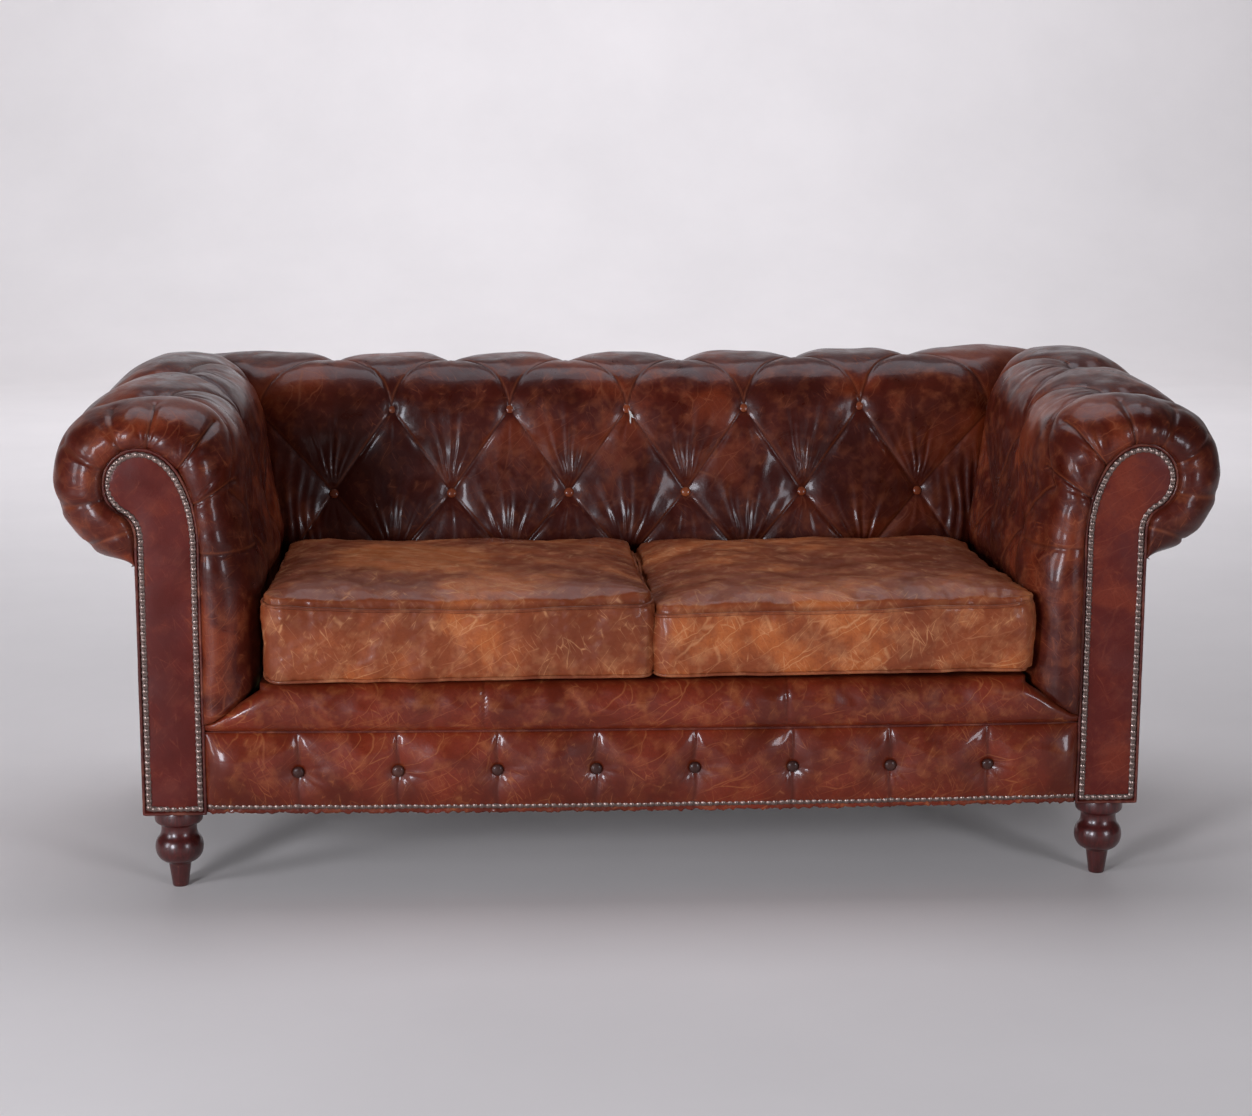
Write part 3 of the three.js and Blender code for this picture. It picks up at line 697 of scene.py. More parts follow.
def arm_surface(side, tuft):
    """The leather of an arm: from the mitre at the back, forward and round the padded ring of
    its front to the edge of the arm-front panel."""
    places = wall_rows(ARM_STEP, ARM_STEP_BEHIND)
    base, share = wall_base(places, tuft.puff)
    out, z = base[:, 0], base[:, 1]
    round_y = 0.078  # how far back the leather starts to turn in
    start_y = BACK_IN + DEEPER * out
    edge_y = FRONT_Y + round_y
    t = np.linspace(0, 1, ARM_COLS)[None, :]
    y = start_y[:, None] + (edge_y - start_y[:, None]) * t
    flat = np.ones_like(y)
    straight = np.stack([(ARM_IN + out)[:, None] * flat, y, z[:, None] * flat], -1)

    ring = front_ring(places, np.column_stack([ARM_IN + out, z]), edge_y, round_y)
    points = np.concatenate([straight, ring], 1)
    points[..., 0] *= side
    normals = grid_normals(points, side)
    step = np.linalg.norm(np.diff(points, axis=1), axis=-1)
    u = start_y[:, None] - np.concatenate([np.zeros((len(places), 1)), np.cumsum(step, 1)], 1)
    v = np.repeat(places[:, None], u.shape[1], 1)
    to_mitre = start_y[:, None] - u
    to_panel = u - u[:, -1:]
    points += normals * plumpness(u, v, edge_y, to_mitre, to_panel, side)[..., None]

    low, high, top = at_height(tuft.row_low), at_height(tuft.row_high), at_out(tuft.row_top)
    hidden = at_height(tuft.row_hidden)
    corner = (float(np.interp(high, places, start_y)), high)
    front, middle = FRONT_Y + 0.135, FRONT_Y + 0.362
    fork = (FRONT_Y + 0.022, at_height(0.648))
    b1 = (FRONT_Y + 0.250, high)
    c0, c1 = (front, low), (middle + 0.010, low)
    a0, a1, a2 = (front, top), (middle, top), (corner[0] + 0.085, top)

    def arched(crest, seat):
        return curved(crest, (crest[0] + 0.7 * (seat[0] - crest[0]), crest[1] - 0.012), seat)

    pleats = [
        ([a0, fork], 0.44), ([fork, c0], 0.36), (arched(a0, b1), 0.44), (arched(a1, b1), 0.44),
        (arched(a1, corner), 0.44), (arched(a2, corner), 0.44), ([b1, c0], 0.40),
        ([b1, c1], 0.40), ([corner, c1], 0.42), ([c0, (edge_y, hidden)], 0.30),
        ([c0, (b1[0], hidden)], 0.40), ([c1, (b1[0], hidden)], 0.40),
        ([c1, (BACK_IN, hidden)], 0.40),
    ]
    radial = [at_angle(-49 + 37.5 * i) for i in range(7)]
    for i, at in enumerate(radial):
        bent = at + 0.010 * math.sin(2.1 * i + side)
        path = curved((edge_y - 0.30, at), (edge_y - 0.080, at), (edge_y - 0.030, bent))
        pleats.append((path, 0.52))
    crossing = at_height(0.551)
    pleats.append(([(edge_y - 0.30, crossing), (edge_y + 0.01, crossing - 0.003)], 0.30))
    pleats = [(path, depth, 0.8 * tuft.puff_reach) for path, depth in pleats]
    crest_pleats = list(zip((a0, a1, a2), ARM_CREST_LEANS))
    pleats += [([a, (a[0] + lean, SECTION_END)], 0.85, 0.8 * tuft.crest_reach)
               for a, lean in crest_pleats]
    stand_up = (-0.003, -0.003, -0.003, -0.001, -0.002, -0.002)
    seats = list(zip((a0, a1, a2, b1, c0, c1), stand_up))
    pulls = [(*at, ARM_PULL) for at in (a0, a1, a2, b1, c0, c1, corner, (b1[0], hidden))]
    share_open, crease, lap = tufted(u, v, pleats, pulls, tuft)
    share_open *= 1 - np.exp(-to_mitre / 0.016)
    share_open *= 1 - np.exp(-(to_panel + 0.001) / 0.012)
    # Painted shade in the corner where the arm meets the back.
    crease = np.maximum(crease, np.exp(-(to_mitre / 0.005) ** 2))

    seed = 200 if side > 0 else 300
    ripple = fans(u, v, [
        ([c0, c1], UP, 0.0014, 0.45, 0.036, 3.6, seed),
        ([c0, c1], DOWN, 0.0010, 0.5, 0.030, 2.6, seed + 5),
        ([b1, a0, a1, a2], DOWN, 0.0009, 0.6, 0.028, 2.8, seed + 10),
        ([b1, a0, a1, a2], UP, 0.0009, 0.5, 0.030, 2.4, seed + 15)])
    near_mitre = 1 - smoothstep(to_mitre, 0.03, 0.20)
    ripple += 0.0022 * near_mitre * gathers(
        u, v, at_height(0.455), at_height(0.70), 0.021, seed + 20)
    on_ring = smoothstep(edge_y - u, -0.02, 0.05)
    gathered = [(edge_y - 0.130, at) for at in radial]
    ripple += on_ring * fans(u, v, [(gathered, 0.0, 0.0009, 0.6, 0.034, 2.6, seed + 50)])
    swell = 0.0013 * waves(u, v, 0.17, seed + 60) + 0.0005 * waves(u, v, 0.06, seed + 61)
    pressed = (1 - smoothstep(v, at_height(0.450), at_height(0.505))) * (1 - on_ring)
    full = tuft.puff * (1 - 0.25 * on_ring) * (1 - 0.55 * pressed)
    lift = lifted(full, share_open, ripple + swell, lap, share)
    lift -= scallops(u, v, [(a[0], lean) for a, lean in crest_pleats], top, share)
    return {"points": points + normals * lift[..., None], "normals": normals, "u": u, "v": v,
            "height": lift / tuft.puff, "crease": crease, "lap": lap, "seats": seats,
            "base": points, "side": side}


def wall_piece(name, surface):
    """The mesh of a wall's leather, with its raw edges turned in."""
    flip = surface["side"] < 0
    loop = edge_loop(*surface["u"].shape)
    points = surface["points"].reshape(-1, 3)
    turned = points[loop] - surface["normals"].reshape(-1, 3)[loop] * 0.006
    faces = np.concatenate([grid_faces(*surface["u"].shape, flip=flip),
                            rim_faces(loop, len(points), flip)])
    uv = np.column_stack([with_border(surface[key], loop) for key in "uv"])
    fields = {key: with_border(surface[key], loop) for key in ("height", "crease", "lap")}
    return new_mesh(name, np.concatenate([points, turned]), faces, uv=uv, fields=fields)


def button_seats(surface, places):
    """Where the buttons at these places and depths of a wall sit, and which way they face."""
    seats = []
    for (bu, bv), depth in places:
        near = np.argmin((surface["u"] - bu) ** 2 + (surface["v"] - bv) ** 2)
        normal = surface["normals"].reshape(-1, 3)[near]
        seats.append((surface["base"].reshape(-1, 3)[near] + normal * depth, normal))
    return seats


# ------------------------------------------------------------------ materials
def add_node(tree, kind, inputs=None, out=0, **values):
    """Adds a node, sets its properties, sets or links its inputs, and gives back one output."""
    made = tree.nodes.new(kind)
    count = len(tree.nodes) - 1
    made.location = (count % 8 * 240, -(count // 8) * 320)
    for key, value in values.items():
        setattr(made, key, value)
    for key, value in (inputs or {}).items():
        if isinstance(value, bpy.types.NodeSocket):
            tree.links.new(value, made.inputs[key])
        else:
            made.inputs[key].default_value = value
    return made.outputs[out] if len(made.outputs) else made


def start_material(name):
    """An empty material, the way to add a node to it, and its object coordinates."""
    material = bpy.data.materials.new(name)
    material.use_nodes = True
    tree = material.node_tree
    tree.nodes.clear()
    add = partial(add_node, tree)
    return material, add, add("ShaderNodeTexCoord", out="Object")


def end_material(add, shader_inputs):
    """Ends a material with its shader and its output."""
    surface = add("ShaderNodeBsdfPrincipled", shader_inputs)
    add("ShaderNodeOutputMaterial", {"Surface": surface})


def shaded(paint, share):
    """A colour made darker, or lighter with a share over 1."""
    return (*(min(1.0, c * share) for c in paint[:3]), 1.0)


def leather(name, paints, wear, scratched, gloss, coat, slack, pleated):
    """Full-grain cowhide, wax-finished and long rubbed. Broad clouds of darker wax, paler leather
    where it is rubbed, nets of long scratches in some places, and the pores of the hide. Paints
    are dark, base, warm and worn; slack is the depth of its soft wrinkles. Pleated leather is
    also rubbed on its puffs. It is paler along its laps, partly as rubbed leather and partly as a
    painted highlight, and it carries painted shade in its creases, button pits and seams."""
    material, add, where = start_material(name)
    dark, base, warm, worn = paints
    # Sizes on the hide. Real pores are under 1 mm, and are drawn at about 3 mm so that they show.
    cloud, patch, wrinkle, pore, bend, scratch = 0.20, 0.050, 0.026, 0.0032, 0.040, 0.0005
    drift = add("ShaderNodeTexNoise", {
        "Vector": where, "Scale": 1 / bend, "Detail": 2.0}, out="Color")
    drifted = add("ShaderNodeVectorMath", {
        0: drift, 1: (0.009, 0.009, 0.009), 2: where}, operation="MULTIPLY_ADD")
    clouds = add("ShaderNodeTexNoise", {
        "Vector": where, "Scale": 1 / cloud, "Detail": 2.0, "Roughness": 0.6, "Distortion": 0.4})
    patches = add("ShaderNodeTexNoise", {
        "Vector": where, "Scale": 1 / patch, "Detail": 3.0, "Roughness": 0.65, "Distortion": 0.5})
    pores = add("ShaderNodeTexNoise", {
        "Vector": where, "Scale": 1 / pore, "Detail": 1.0, "Roughness": 0.6})
    wrinkles = add("ShaderNodeTexNoise", {
        "Vector": drifted, "Scale": 1 / wrinkle, "Detail": 2.0, "Roughness": 0.6})

    patchy = add("ShaderNodeMath", {0: patches, 1: 0.28}, operation="MULTIPLY")
    tone = add("ShaderNodeMath", {0: clouds, 1: 0.72, 2: patchy}, operation="MULTIPLY_ADD")
    to_base = add("ShaderNodeMapRange", {
        0: tone, 1: 0.38, 2: 0.52, 3: 0.45}, interpolation_type="SMOOTHSTEP")
    to_warm = add("ShaderNodeMapRange", {
        0: tone, 1: 0.50, 2: 0.62}, interpolation_type="SMOOTHSTEP")
    paint = add("ShaderNodeMix", {0: to_base, 6: dark, 7: base}, 2, data_type="RGBA")
    paint = add("ShaderNodeMix", {0: to_warm, 6: paint, 7: warm}, 2, data_type="RGBA")

    # Three nets of long thin scratches that cross each other slantwise. Each is cut from thin
    # slanted cells, so that it shows as lines on the top and on the front of a piece alike.
    lines = None
    # Cell size, turn, stretch, what the net shows in, and where it starts and is full.
    nets = ((0.012, (0.0, -0.52, 0.41), 7.0, patches, 0.50, 0.66),
            (0.014, (0.0, -0.52, 2.52), 9.0, wrinkles, 0.48, 0.66),
            (0.017, (0.0, 0.58, 1.13), 11.0, clouds, 0.46, 0.62))
    for size, turn, stretch, shown_in, low, high in nets:
        turned = add("ShaderNodeMapping", {
            "Vector": drifted, "Rotation": turn, "Scale": (1.0, stretch, 0.7 * stretch)},
            vector_type="TEXTURE")
        edge = add("ShaderNodeTexVoronoi", {
            "Vector": turned, "Scale": 1 / size}, feature="DISTANCE_TO_EDGE")
        line = add("ShaderNodeMapRange", {
            0: edge, 1: 0.0, 2: scratch / size, 3: 1.0, 4: 0.0}, interpolation_type="SMOOTHSTEP")
        shown = add("ShaderNodeMapRange", {0: shown_in, 1: low, 2: high})
        line = add("ShaderNodeMath", {0: line, 1: shown}, operation="MULTIPLY")
        lines = line if lines is None else add(
            "ShaderNodeMath", {0: lines, 1: line}, operation="MAXIMUM")
    lines = add("ShaderNodeMath", {0: lines, 1: 0.75 * scratched}, operation="MULTIPLY")

    rubbed = add("ShaderNodeMapRange", {0: wrinkles, 1: 0.48, 2: 0.76, 3: 0.0, 4: wear})
    rubbed = add("ShaderNodeMath", {0: rubbed, 1: to_base}, operation="MULTIPLY")
    # Pores darken the leather at random, as grime.
    grime_and_shade = add("ShaderNodeMapRange", {0: pores, 1: 0.50, 2: 0.80, 3: 0.0, 4: 0.30})
    if pleated:
        height, crease, lap = (add("ShaderNodeAttribute", out="Fac", attribute_name=field)
                               for field in ("height", "crease", "lap"))
        raised = add("ShaderNodeMapRange", {0: height, 1: 0.35, 2: 1.0, 3: 0.35})
        rubbed = add("ShaderNodeMath", {0: rubbed, 1: raised}, operation="MULTIPLY")
        # Along a lap the leather is paler: partly rubbed, partly a painted highlight.
        lap = add("ShaderNodeMath", {0: lap, 1: 0.55}, operation="MULTIPLY")
        rubbed = add("ShaderNodeMath", {0: rubbed, 1: lap}, operation="MAXIMUM")
        # The crease field paints shade into creases, button pits and seams.
        crease = add("ShaderNodeMath", {0: crease, 1: 0.80}, operation="MULTIPLY")
        grime_and_shade = add("ShaderNodeMath", {0: grime_and_shade, 1: crease}, operation="MAXIMUM")
    share = add("ShaderNodeMath", {0: rubbed, 1: lines}, operation="MAXIMUM")
    paint = add("ShaderNodeMix", {0: share, 6: paint, 7: worn}, 2, data_type="RGBA")
    paint = add("ShaderNodeMix", {0: grime_and_shade, 6: paint, 7: dark}, 2, data_type="RGBA")

    rough = add("ShaderNodeMapRange", {
        0: patches, 1: 0.34, 2: 0.66, 3: 0.58 - 0.36 * gloss, 4: 0.80 - 0.36 * gloss})
    rough = add("ShaderNodeMath", {0: lines, 1: 0.25, 2: rough}, operation="MULTIPLY_ADD")
    folds = add("ShaderNodeMath", {0: wrinkles, 1: slack}, operation="MULTIPLY")
    relief = add("ShaderNodeMath", {0: pores, 1: 0.00032, 2: folds}, operation="MULTIPLY_ADD")
    normal = add("ShaderNodeBump", {"Height": relief, "Distance": 1.0, "Strength": 0.55})
    end_material(add, {
        "Base Color": paint, "Roughness": rough, "IOR": 1.45, "Specular IOR Level": 0.20,
        "Coat Weight": coat, "Coat Roughness": 0.12, "Coat IOR": 1.5, "Normal": normal})
    return material


def antique_brass(name, dark, worn):
    """Stamped brass, chemically darkened, with the dark rubbed off its high rims."""
    material, add, where = start_material(name)
    tarnish = add("ShaderNodeTexNoise", {
        "Vector": where, "Scale": 1 / 0.006, "Detail": 3.0, "Roughness": 0.65})
    pointed = add("ShaderNodeNewGeometry", out="Pointiness")
    rim = add("ShaderNodeMapRange", {0: pointed, 1: 0.50, 2: 0.56})
    bare = add("ShaderNodeMapRange", {0: tarnish, 1: 0.50, 2: 0.72, 4: 0.6})
    share = add("ShaderNodeMath", {0: rim, 1: bare}, operation="MAXIMUM")
    paint = add("ShaderNodeMix", {0: share, 6: dark, 7: worn}, 2, data_type="RGBA")
    rough = add("ShaderNodeMapRange", {0: tarnish, 1: 0.3, 2: 0.7, 3: 0.28, 4: 0.48})
    end_material(add, {"Base Color": paint, "Metallic": 0.92, "Roughness": rough})
    return material


def hardwood(name, base, size=0.012, rough=0.30, coat=0.5):
    """Turned or sawn hardwood: fine grain lines along it, and small chips down to bare wood."""
    material, add, where = start_material(name)
    stretched = add("ShaderNodeMapping", {"Vector": where, "Scale": (1.0, 1.0, 0.12)})
    grain = add("ShaderNodeTexNoise", {
        "Vector": stretched, "Scale": 1 / size, "Detail": 4.0, "Roughness": 0.7, "Distortion": 1.2})
    fine = add("ShaderNodeTexNoise", {"Vector": stretched, "Scale": 6 / size, "Detail": 2.0})
    chips = add("ShaderNodeTexNoise", {
        "Vector": where, "Scale": 1 / 0.008, "Detail": 3.0, "Roughness": 0.7})
    share = add("ShaderNodeMapRange", {0: grain, 1: 0.35, 2: 0.62})
    paint = add("ShaderNodeMix", {0: share, 6: shaded(base, 0.45), 7: base}, 2, data_type="RGBA")
    share = add("ShaderNodeMapRange", {0: fine, 1: 0.52, 2: 0.75, 4: 0.40})
    paint = add("ShaderNodeMix", {0: share, 6: paint, 7: shaded(base, 2.0)}, 2, data_type="RGBA")
    share = add("ShaderNodeMapRange", {0: chips, 1: 0.66, 2: 0.74, 4: 0.5})
    paint = add("ShaderNodeMix", {0: share, 6: paint, 7: linear("#8a5a3c")}, 2, data_type="RGBA")
    normal = add("ShaderNodeBump", {"Height": fine, "Distance": 0.0004, "Strength": 0.25})
    end_material(add, {"Base Color": paint, "Roughness": rough, "IOR": 1.5, "Normal": normal,
                        "Coat Weight": coat, "Coat Roughness": 0.12})
    return material


def woven(name, base, pitch):
    """Plain-woven cloth: threads over and under at the given pitch."""
    material, add, where = start_material(name)
    # A wave repeats every 0.314 / scale, which is two threads here: one over and one under.
    threads = [add("ShaderNodeTexWave", {
        "Vector": where, "Scale": 0.16 / pitch, "Distortion": 0.4}, 1, bands_direction=direction)
        for direction in "XY"]
    over = add("ShaderNodeMath", {0: threads[0], 1: threads[1]}, operation="MAXIMUM")
    paint = add("ShaderNodeMix", {0: over, 6: shaded(base, 0.5), 7: base}, 2, data_type="RGBA")
    normal = add("ShaderNodeBump", {"Height": over, "Distance": 0.0006, "Strength": 0.5})
    end_material(add, {"Base Color": paint, "Roughness": 0.9, "Sheen Weight": 0.2,
                        "Normal": normal})
    return material


def plain_finish(name, base, rough, metallic, lump, depth):
    """A plain surface with slight unevenness: cut foam, or drawn and galvanised wire."""
    material, add, where = start_material(name)
    lumps = add("ShaderNodeTexNoise", {
        "Vector": where, "Scale": 1 / lump, "Detail": 3.0, "Roughness": 0.6})
    share = add("ShaderNodeMapRange", {0: lumps, 1: 0.35, 2: 0.7})
    paint = add("ShaderNodeMix", {0: share, 6: shaded(base, 0.7), 7: base}, 2, data_type="RGBA")
    normal = add("ShaderNodeBump", {"Height": lumps, "Distance": depth, "Strength": 0.4})
    end_material(add, {"Base Color": paint, "Roughness": rough, "Metallic": metallic,
                        "Normal": normal})
    return material


# ------------------------------------------------------------------ operators
class SOFA_OT_stage(bpy.types.Operator):
    """Make the floor, the daylight and the camera"""

    bl_idname = "sofa.stage"
    bl_label = "Stage"

    def execute(self, context):
        stage = settings("sofa_stage")
        self.floor(stage)
        self.lights(stage)
        self.camera(context, stage)
        return {"FINISHED"}

    def floor(self, stage):
        """A pale floor that curves up into a plain wall well behind the sofa."""
        reach, wall, radius = 16.0, 7.0, 2.5
        bend = arc((wall, radius), radius, -math.pi / 2, 0.0, 16)
        run = np.concatenate([[[-reach, 0.0]], bend, [[wall + radius, 9.0]]])
        points = np.array([[x, y, z] for y, z in run for x in (-reach, reach)])
        piece = new_mesh("floor", points, grid_faces(len(run), 2))
        # Pale trowelled concrete is even, with faint broad clouds.
        material, add, where = start_material("trowelled_concrete")
        cloud = add("ShaderNodeTexNoise", {
            "Vector": where, "Scale": 1 / 0.9, "Detail": 5.0, "Roughness": 0.6})
        share = add("ShaderNodeMapRange", {0: cloud, 1: 0.35, 2: 0.65})
        pale = tuple(stage.floor)
        paint = add("ShaderNodeMix", {
            0: share, 6: shaded(pale, 0.95), 7: pale}, 2, data_type="RGBA")
        end_material(add, {"Base Color": paint, "Roughness": 0.6, "IOR": 1.3})
        piece.data.materials.append(material)

    def lights(self, stage):
        bpy.context.scene.view_settings.view_transform = "Standard"
        world = bpy.data.worlds.new("studio")
        bpy.context.scene.world = world
        world.use_nodes = True
        background = world.node_tree.nodes["Background"]
        background.inputs["Color"].default_value = linear("#dfe3ea")
        background.inputs["Strength"].default_value = 0.08
        # Light, place, target, width, height and power in watts.
        for name, place, target, width, height, power in (
                ("window", (-2.7, -4.3, 1.25), (0.0, -0.1, 0.5), 0.8, 1.5, 135.0),
                ("side_window", (-4.1, -2.6, 1.3), (0.0, 0.0, 0.5), 0.9, 1.7, 60.0),
                ("far_window", (2.9, -4.1, 1.3), (0.1, 0.0, 0.5), 0.8, 1.6, 62.0),
                ("overhead", (0.0, 1.2, 4.2), (0.0, 0.0, 0.0), 4.0, 2.6, 84.0),
                ("wall_wash", (0.0, 4.2, 5.0), (0.0, 9.0, 0.6), 8.0, 1.5, 395.0)):
            light = bpy.data.lights.new(name, "AREA")
            light.shape, light.size, light.size_y = "RECTANGLE", width, height
            light.energy, light.color = power, stage.light[:3]
            lamp = add_object(name, light)
            lamp.location = place
            aim = Vector(target) - Vector(place)
            lamp.rotation_euler = aim.to_track_quat("-Z", "Y").to_euler()

    def camera(self, context, stage):
        data = bpy.data.cameras.new("camera")
        data.sensor_width, data.lens = 36.0, stage.lens
        data.clip_start, data.clip_end = 0.05, 100.0
        camera = add_object("camera", data)
        turn, tilt, roll = stage.turn, stage.tilt, stage.roll
        forward = Vector((math.sin(turn) * math.cos(tilt), math.cos(turn) * math.cos(tilt),
                          -math.sin(tilt)))
        right = Vector((math.cos(turn), -math.sin(turn), 0.0))
        up = right.cross(forward)
        right, up = (right * math.cos(roll) - up * math.sin(roll),
                     up * math.cos(roll) + right * math.sin(roll))
        axes = Matrix((right, up, -forward)).transposed()
        camera.matrix_world = Matrix.Translation(Vector(stage.camera)) @ axes.to_4x4()
        context.scene.camera = camera


class SOFA_OT_finishes(bpy.types.Operator):
    """Make the leathers, the brass, the woods and the cloths"""

    bl_idname = "sofa.finishes"
    bl_label = "Finishes"

    def execute(self, context):
        c = settings("sofa_colours")
        walls = [tuple(getattr(c, f"wall_{tone}")) for tone in ("dark", "base", "warm", "worn")]
        seat = [tuple(getattr(c, f"seat_{tone}")) for tone in ("dark", "base", "warm", "worn")]
        facing = [shaded(c.facing_base, 0.62), tuple(c.facing_base), linear("#6c2716"),
                  linear("#8a4630")]
        border, button, knob = (
            [shaded(base, dark), tuple(base), shaded(base, warm), linear(worn)]
            for base, dark, warm, worn in ((c.border_base, 0.45, 1.35, "#b8703f"),
                                           (c.button_base, 0.5, 1.4, "#b56a3a"),
                                           (c.knob_base, 0.5, 1.5, "#6a4030")))
        edge = [linear(c) for c in ("#35100c", "#52201a", "#642a20", "#8f5640")]
        welt = [linear(c) for c in ("#4c1e11", "#7b3c22", "#96502e", "#b67a52")]
        # Finish, paints, wear, scratched, gloss, coat, slack, pleated.
        for row in (
                ("waxed_oxblood_cowhide", walls, 0.62, 0.75, 0.86, 0.20, 0.0014, True),
                ("waxed_russet_cowhide", border, 0.35, 0.45, 0.80, 0.40, 0.0010, True),
                ("smooth_maroon_cowhide", facing, 0.35, 0.45, 0.50, 0.06, 0.0008, True),
                ("plain_oxblood_cowhide", walls, 0.35, 0.40, 0.50, 0.20, 0.0012, False),
                ("rubbed_cognac_cowhide", seat, 0.40, 0.80, 0.66, 0.12, 0.0007, True),
                ("cushion_piping_cowhide", welt, 0.6, 0.5, 0.5, 0.20, 0.0006, False),
                ("front_piping_cowhide", edge, 0.6, 0.4, 0.6, 0.25, 0.0006, False),
                ("button_cowhide", button, 0.4, 0.2, 0.8, 0.45, 0.0004, False),
                ("border_button_cowhide", knob, 0.4, 0.2, 0.6, 0.25, 0.0004, False)):
            leather(*row)
        antique_brass("antique_brass", tuple(c.brass), tuple(c.brass_worn))
        antique_brass("rubbed_brass_strip", shaded(c.brass_worn, 0.45), tuple(c.brass_worn))
        hardwood("stained_mahogany", tuple(c.mahogany), coat=0.3)
        hardwood("sawn_beech", linear("#b58c5c"), 0.03, 0.7, 0.0)
        woven("woven_hessian", linear("#9c8353"), 0.0022)
        woven("black_cambric", linear("#1a1a1c"), 0.0008)
        woven("linen_thread", linear("#f2efe8"), 0.0004)
        plain_finish("upholstery_foam", linear("#e4d9b4"), 0.95, 0.0, 0.003, 0.0006)
        plain_finish("drawn_spring_wire", linear("#85888c"), 0.35, 1.0, 0.002, 0.0001)
        return {"FINISHED"}


class SOFA_OT_back(bpy.types.Operator):
    """Make the buttoned leather of the back"""

    bl_idname = "sofa.back"
    bl_label = "Back"

    def execute(self, context):
        tuft = settings("sofa_tufting")
        surface = back_surface(tuft)
        piece = wall_piece("back_leather", surface)
        finish_piece(piece, "waxed_oxblood_cowhide", "leather_walls",
                     "back_cover", "back_padding", fill=0.8)
        WALLS["back"] = surface
        return {"FINISHED"}


class SOFA_OT_arms(bpy.types.Operator):
    """Make the buttoned leather of both arms"""

    bl_idname = "sofa.arms"
    bl_label = "Arms"

    def execute(self, context):
        tuft = settings("sofa_tufting")
        for word, side in SIDES.items():
            surface = arm_surface(side, tuft)
            piece = wall_piece(f"arm_leather_{word}", surface)
            finish_piece(piece, "waxed_oxblood_cowhide", "leather_walls",
                         f"arm_cover_{word}", f"arm_padding_{word}", fill=0.8)
            WALLS[word] = surface
        return {"FINISHED"}


def panel(name, points, normal, thickness, fields=None, flip=False):
    """A closed piece from a grid of front points: its edge runs back and one face closes it."""
    rows, cols = points.shape[:2]
    flat = points.reshape(-1, 3)
    loop = edge_loop(rows, cols)
    behind = flat[loop] - np.asarray(normal) * thickness
    faces = np.concatenate([grid_faces(rows, cols, flip=flip), rim_faces(loop, len(flat), flip)])
    fields = {key: with_border(values, loop) for key, values in (fields or {}).items()}
    piece = new_mesh(name, np.concatenate([flat, behind]), faces, fields=fields)
    work = bmesh.new()
    work.from_mesh(piece.data)
    work.verts.ensure_lookup_table()
    closing = [work.verts[len(flat) + i] for i in range(len(loop))]
    work.faces.new(closing if flip else closing[::-1])
    bmesh.ops.recalc_face_normals(work, faces=work.faces)
    work.to_mesh(piece.data)
    work.free()
    return piece


class SOFA_OT_arm_fronts(bpy.types.Operator):
    """Make the flat leather panels of the arm fronts, with their piping"""

    bl_idname = "sofa.arm_fronts"
    bl_label = "Arm fronts"

    def execute(self, context):
        trim = settings("sofa_trim")
        outline = scroll_outline(inset=0.0006)
        head = int(np.argmax(outline[:, 1]))
        inner, outer = outline[:head + 1], outline[head:][::-1]
        z = np.concatenate([np.linspace(FACING_LOW.z, ROLL_Z, 170, endpoint=False),
                            ROLL_Z + HEAD_R * np.sin(np.linspace(0, math.pi / 2 - 0.03, 40))])
        left = np.interp(z, inner[:, 1], inner[:, 0])
        right = np.interp(z, outer[:, 1], outer[:, 0])
        t = (1 - np.cos(np.linspace(0, math.pi, 34))) / 2
        x = left[:, None] + (right - left)[:, None] * t
        height = np.repeat(z[:, None], len(t), 1)
        edges = [(i, i + 1, i + 1) for i in range(len(outline) - 1)]
        tree = BVHTree.FromPolygons([Vector((a, 0, b)) for a, b in outline], edges)
        to_edge = np.array([tree.find_nearest(Vector((a, 0, b)))[3]
                            for a, b in zip(x.ravel(), height.ravel())]).reshape(x.shape)
        to_edge = np.minimum(to_edge, height - FACING_LOW.z)
        loop = np.concatenate([outline, outline[:1]])
        places = np.linspace(0, along(loop)[-1], 420, endpoint=False)
        edge = resample(loop, places)
        for word, side in SIDES.items():
            puff = 0.0045 * (1 - np.exp(-to_edge / 0.010))
            puff += 0.0008 * waves(x, height, 0.09, 400 + side)
            y = FRONT_Y - 0.0005 - puff * smoothstep(to_edge, -0.001, 0.004)
            points = np.stack([x * side, y, height], -1)
            # Painted shade along the panel's edge, beside its piping.
            crease = np.exp(-to_edge / 0.006)
            piece = panel(f"arm_front_{word}", points, (0, -1, 0), 0.004,
                          {"height": 0.6 + 0 * x, "crease": crease}, flip=side < 0)
            finish_piece(piece, "smooth_maroon_cowhide", "leather_facing", f"arm_facing_{word}")
            depth = FRONT_Y - 0.0022 + 0.0005 * waves(places, places * 0, 0.05, 410 + side)
            path = np.column_stack([edge[:, 0] * side, depth, edge[:, 1]])
            piping = new_mesh(f"arm_front_piping_{word}", *tube(path, trim.piping))
            finish_piece(piping, "front_piping_cowhide", "leather_facing")
        return {"FINISHED"}


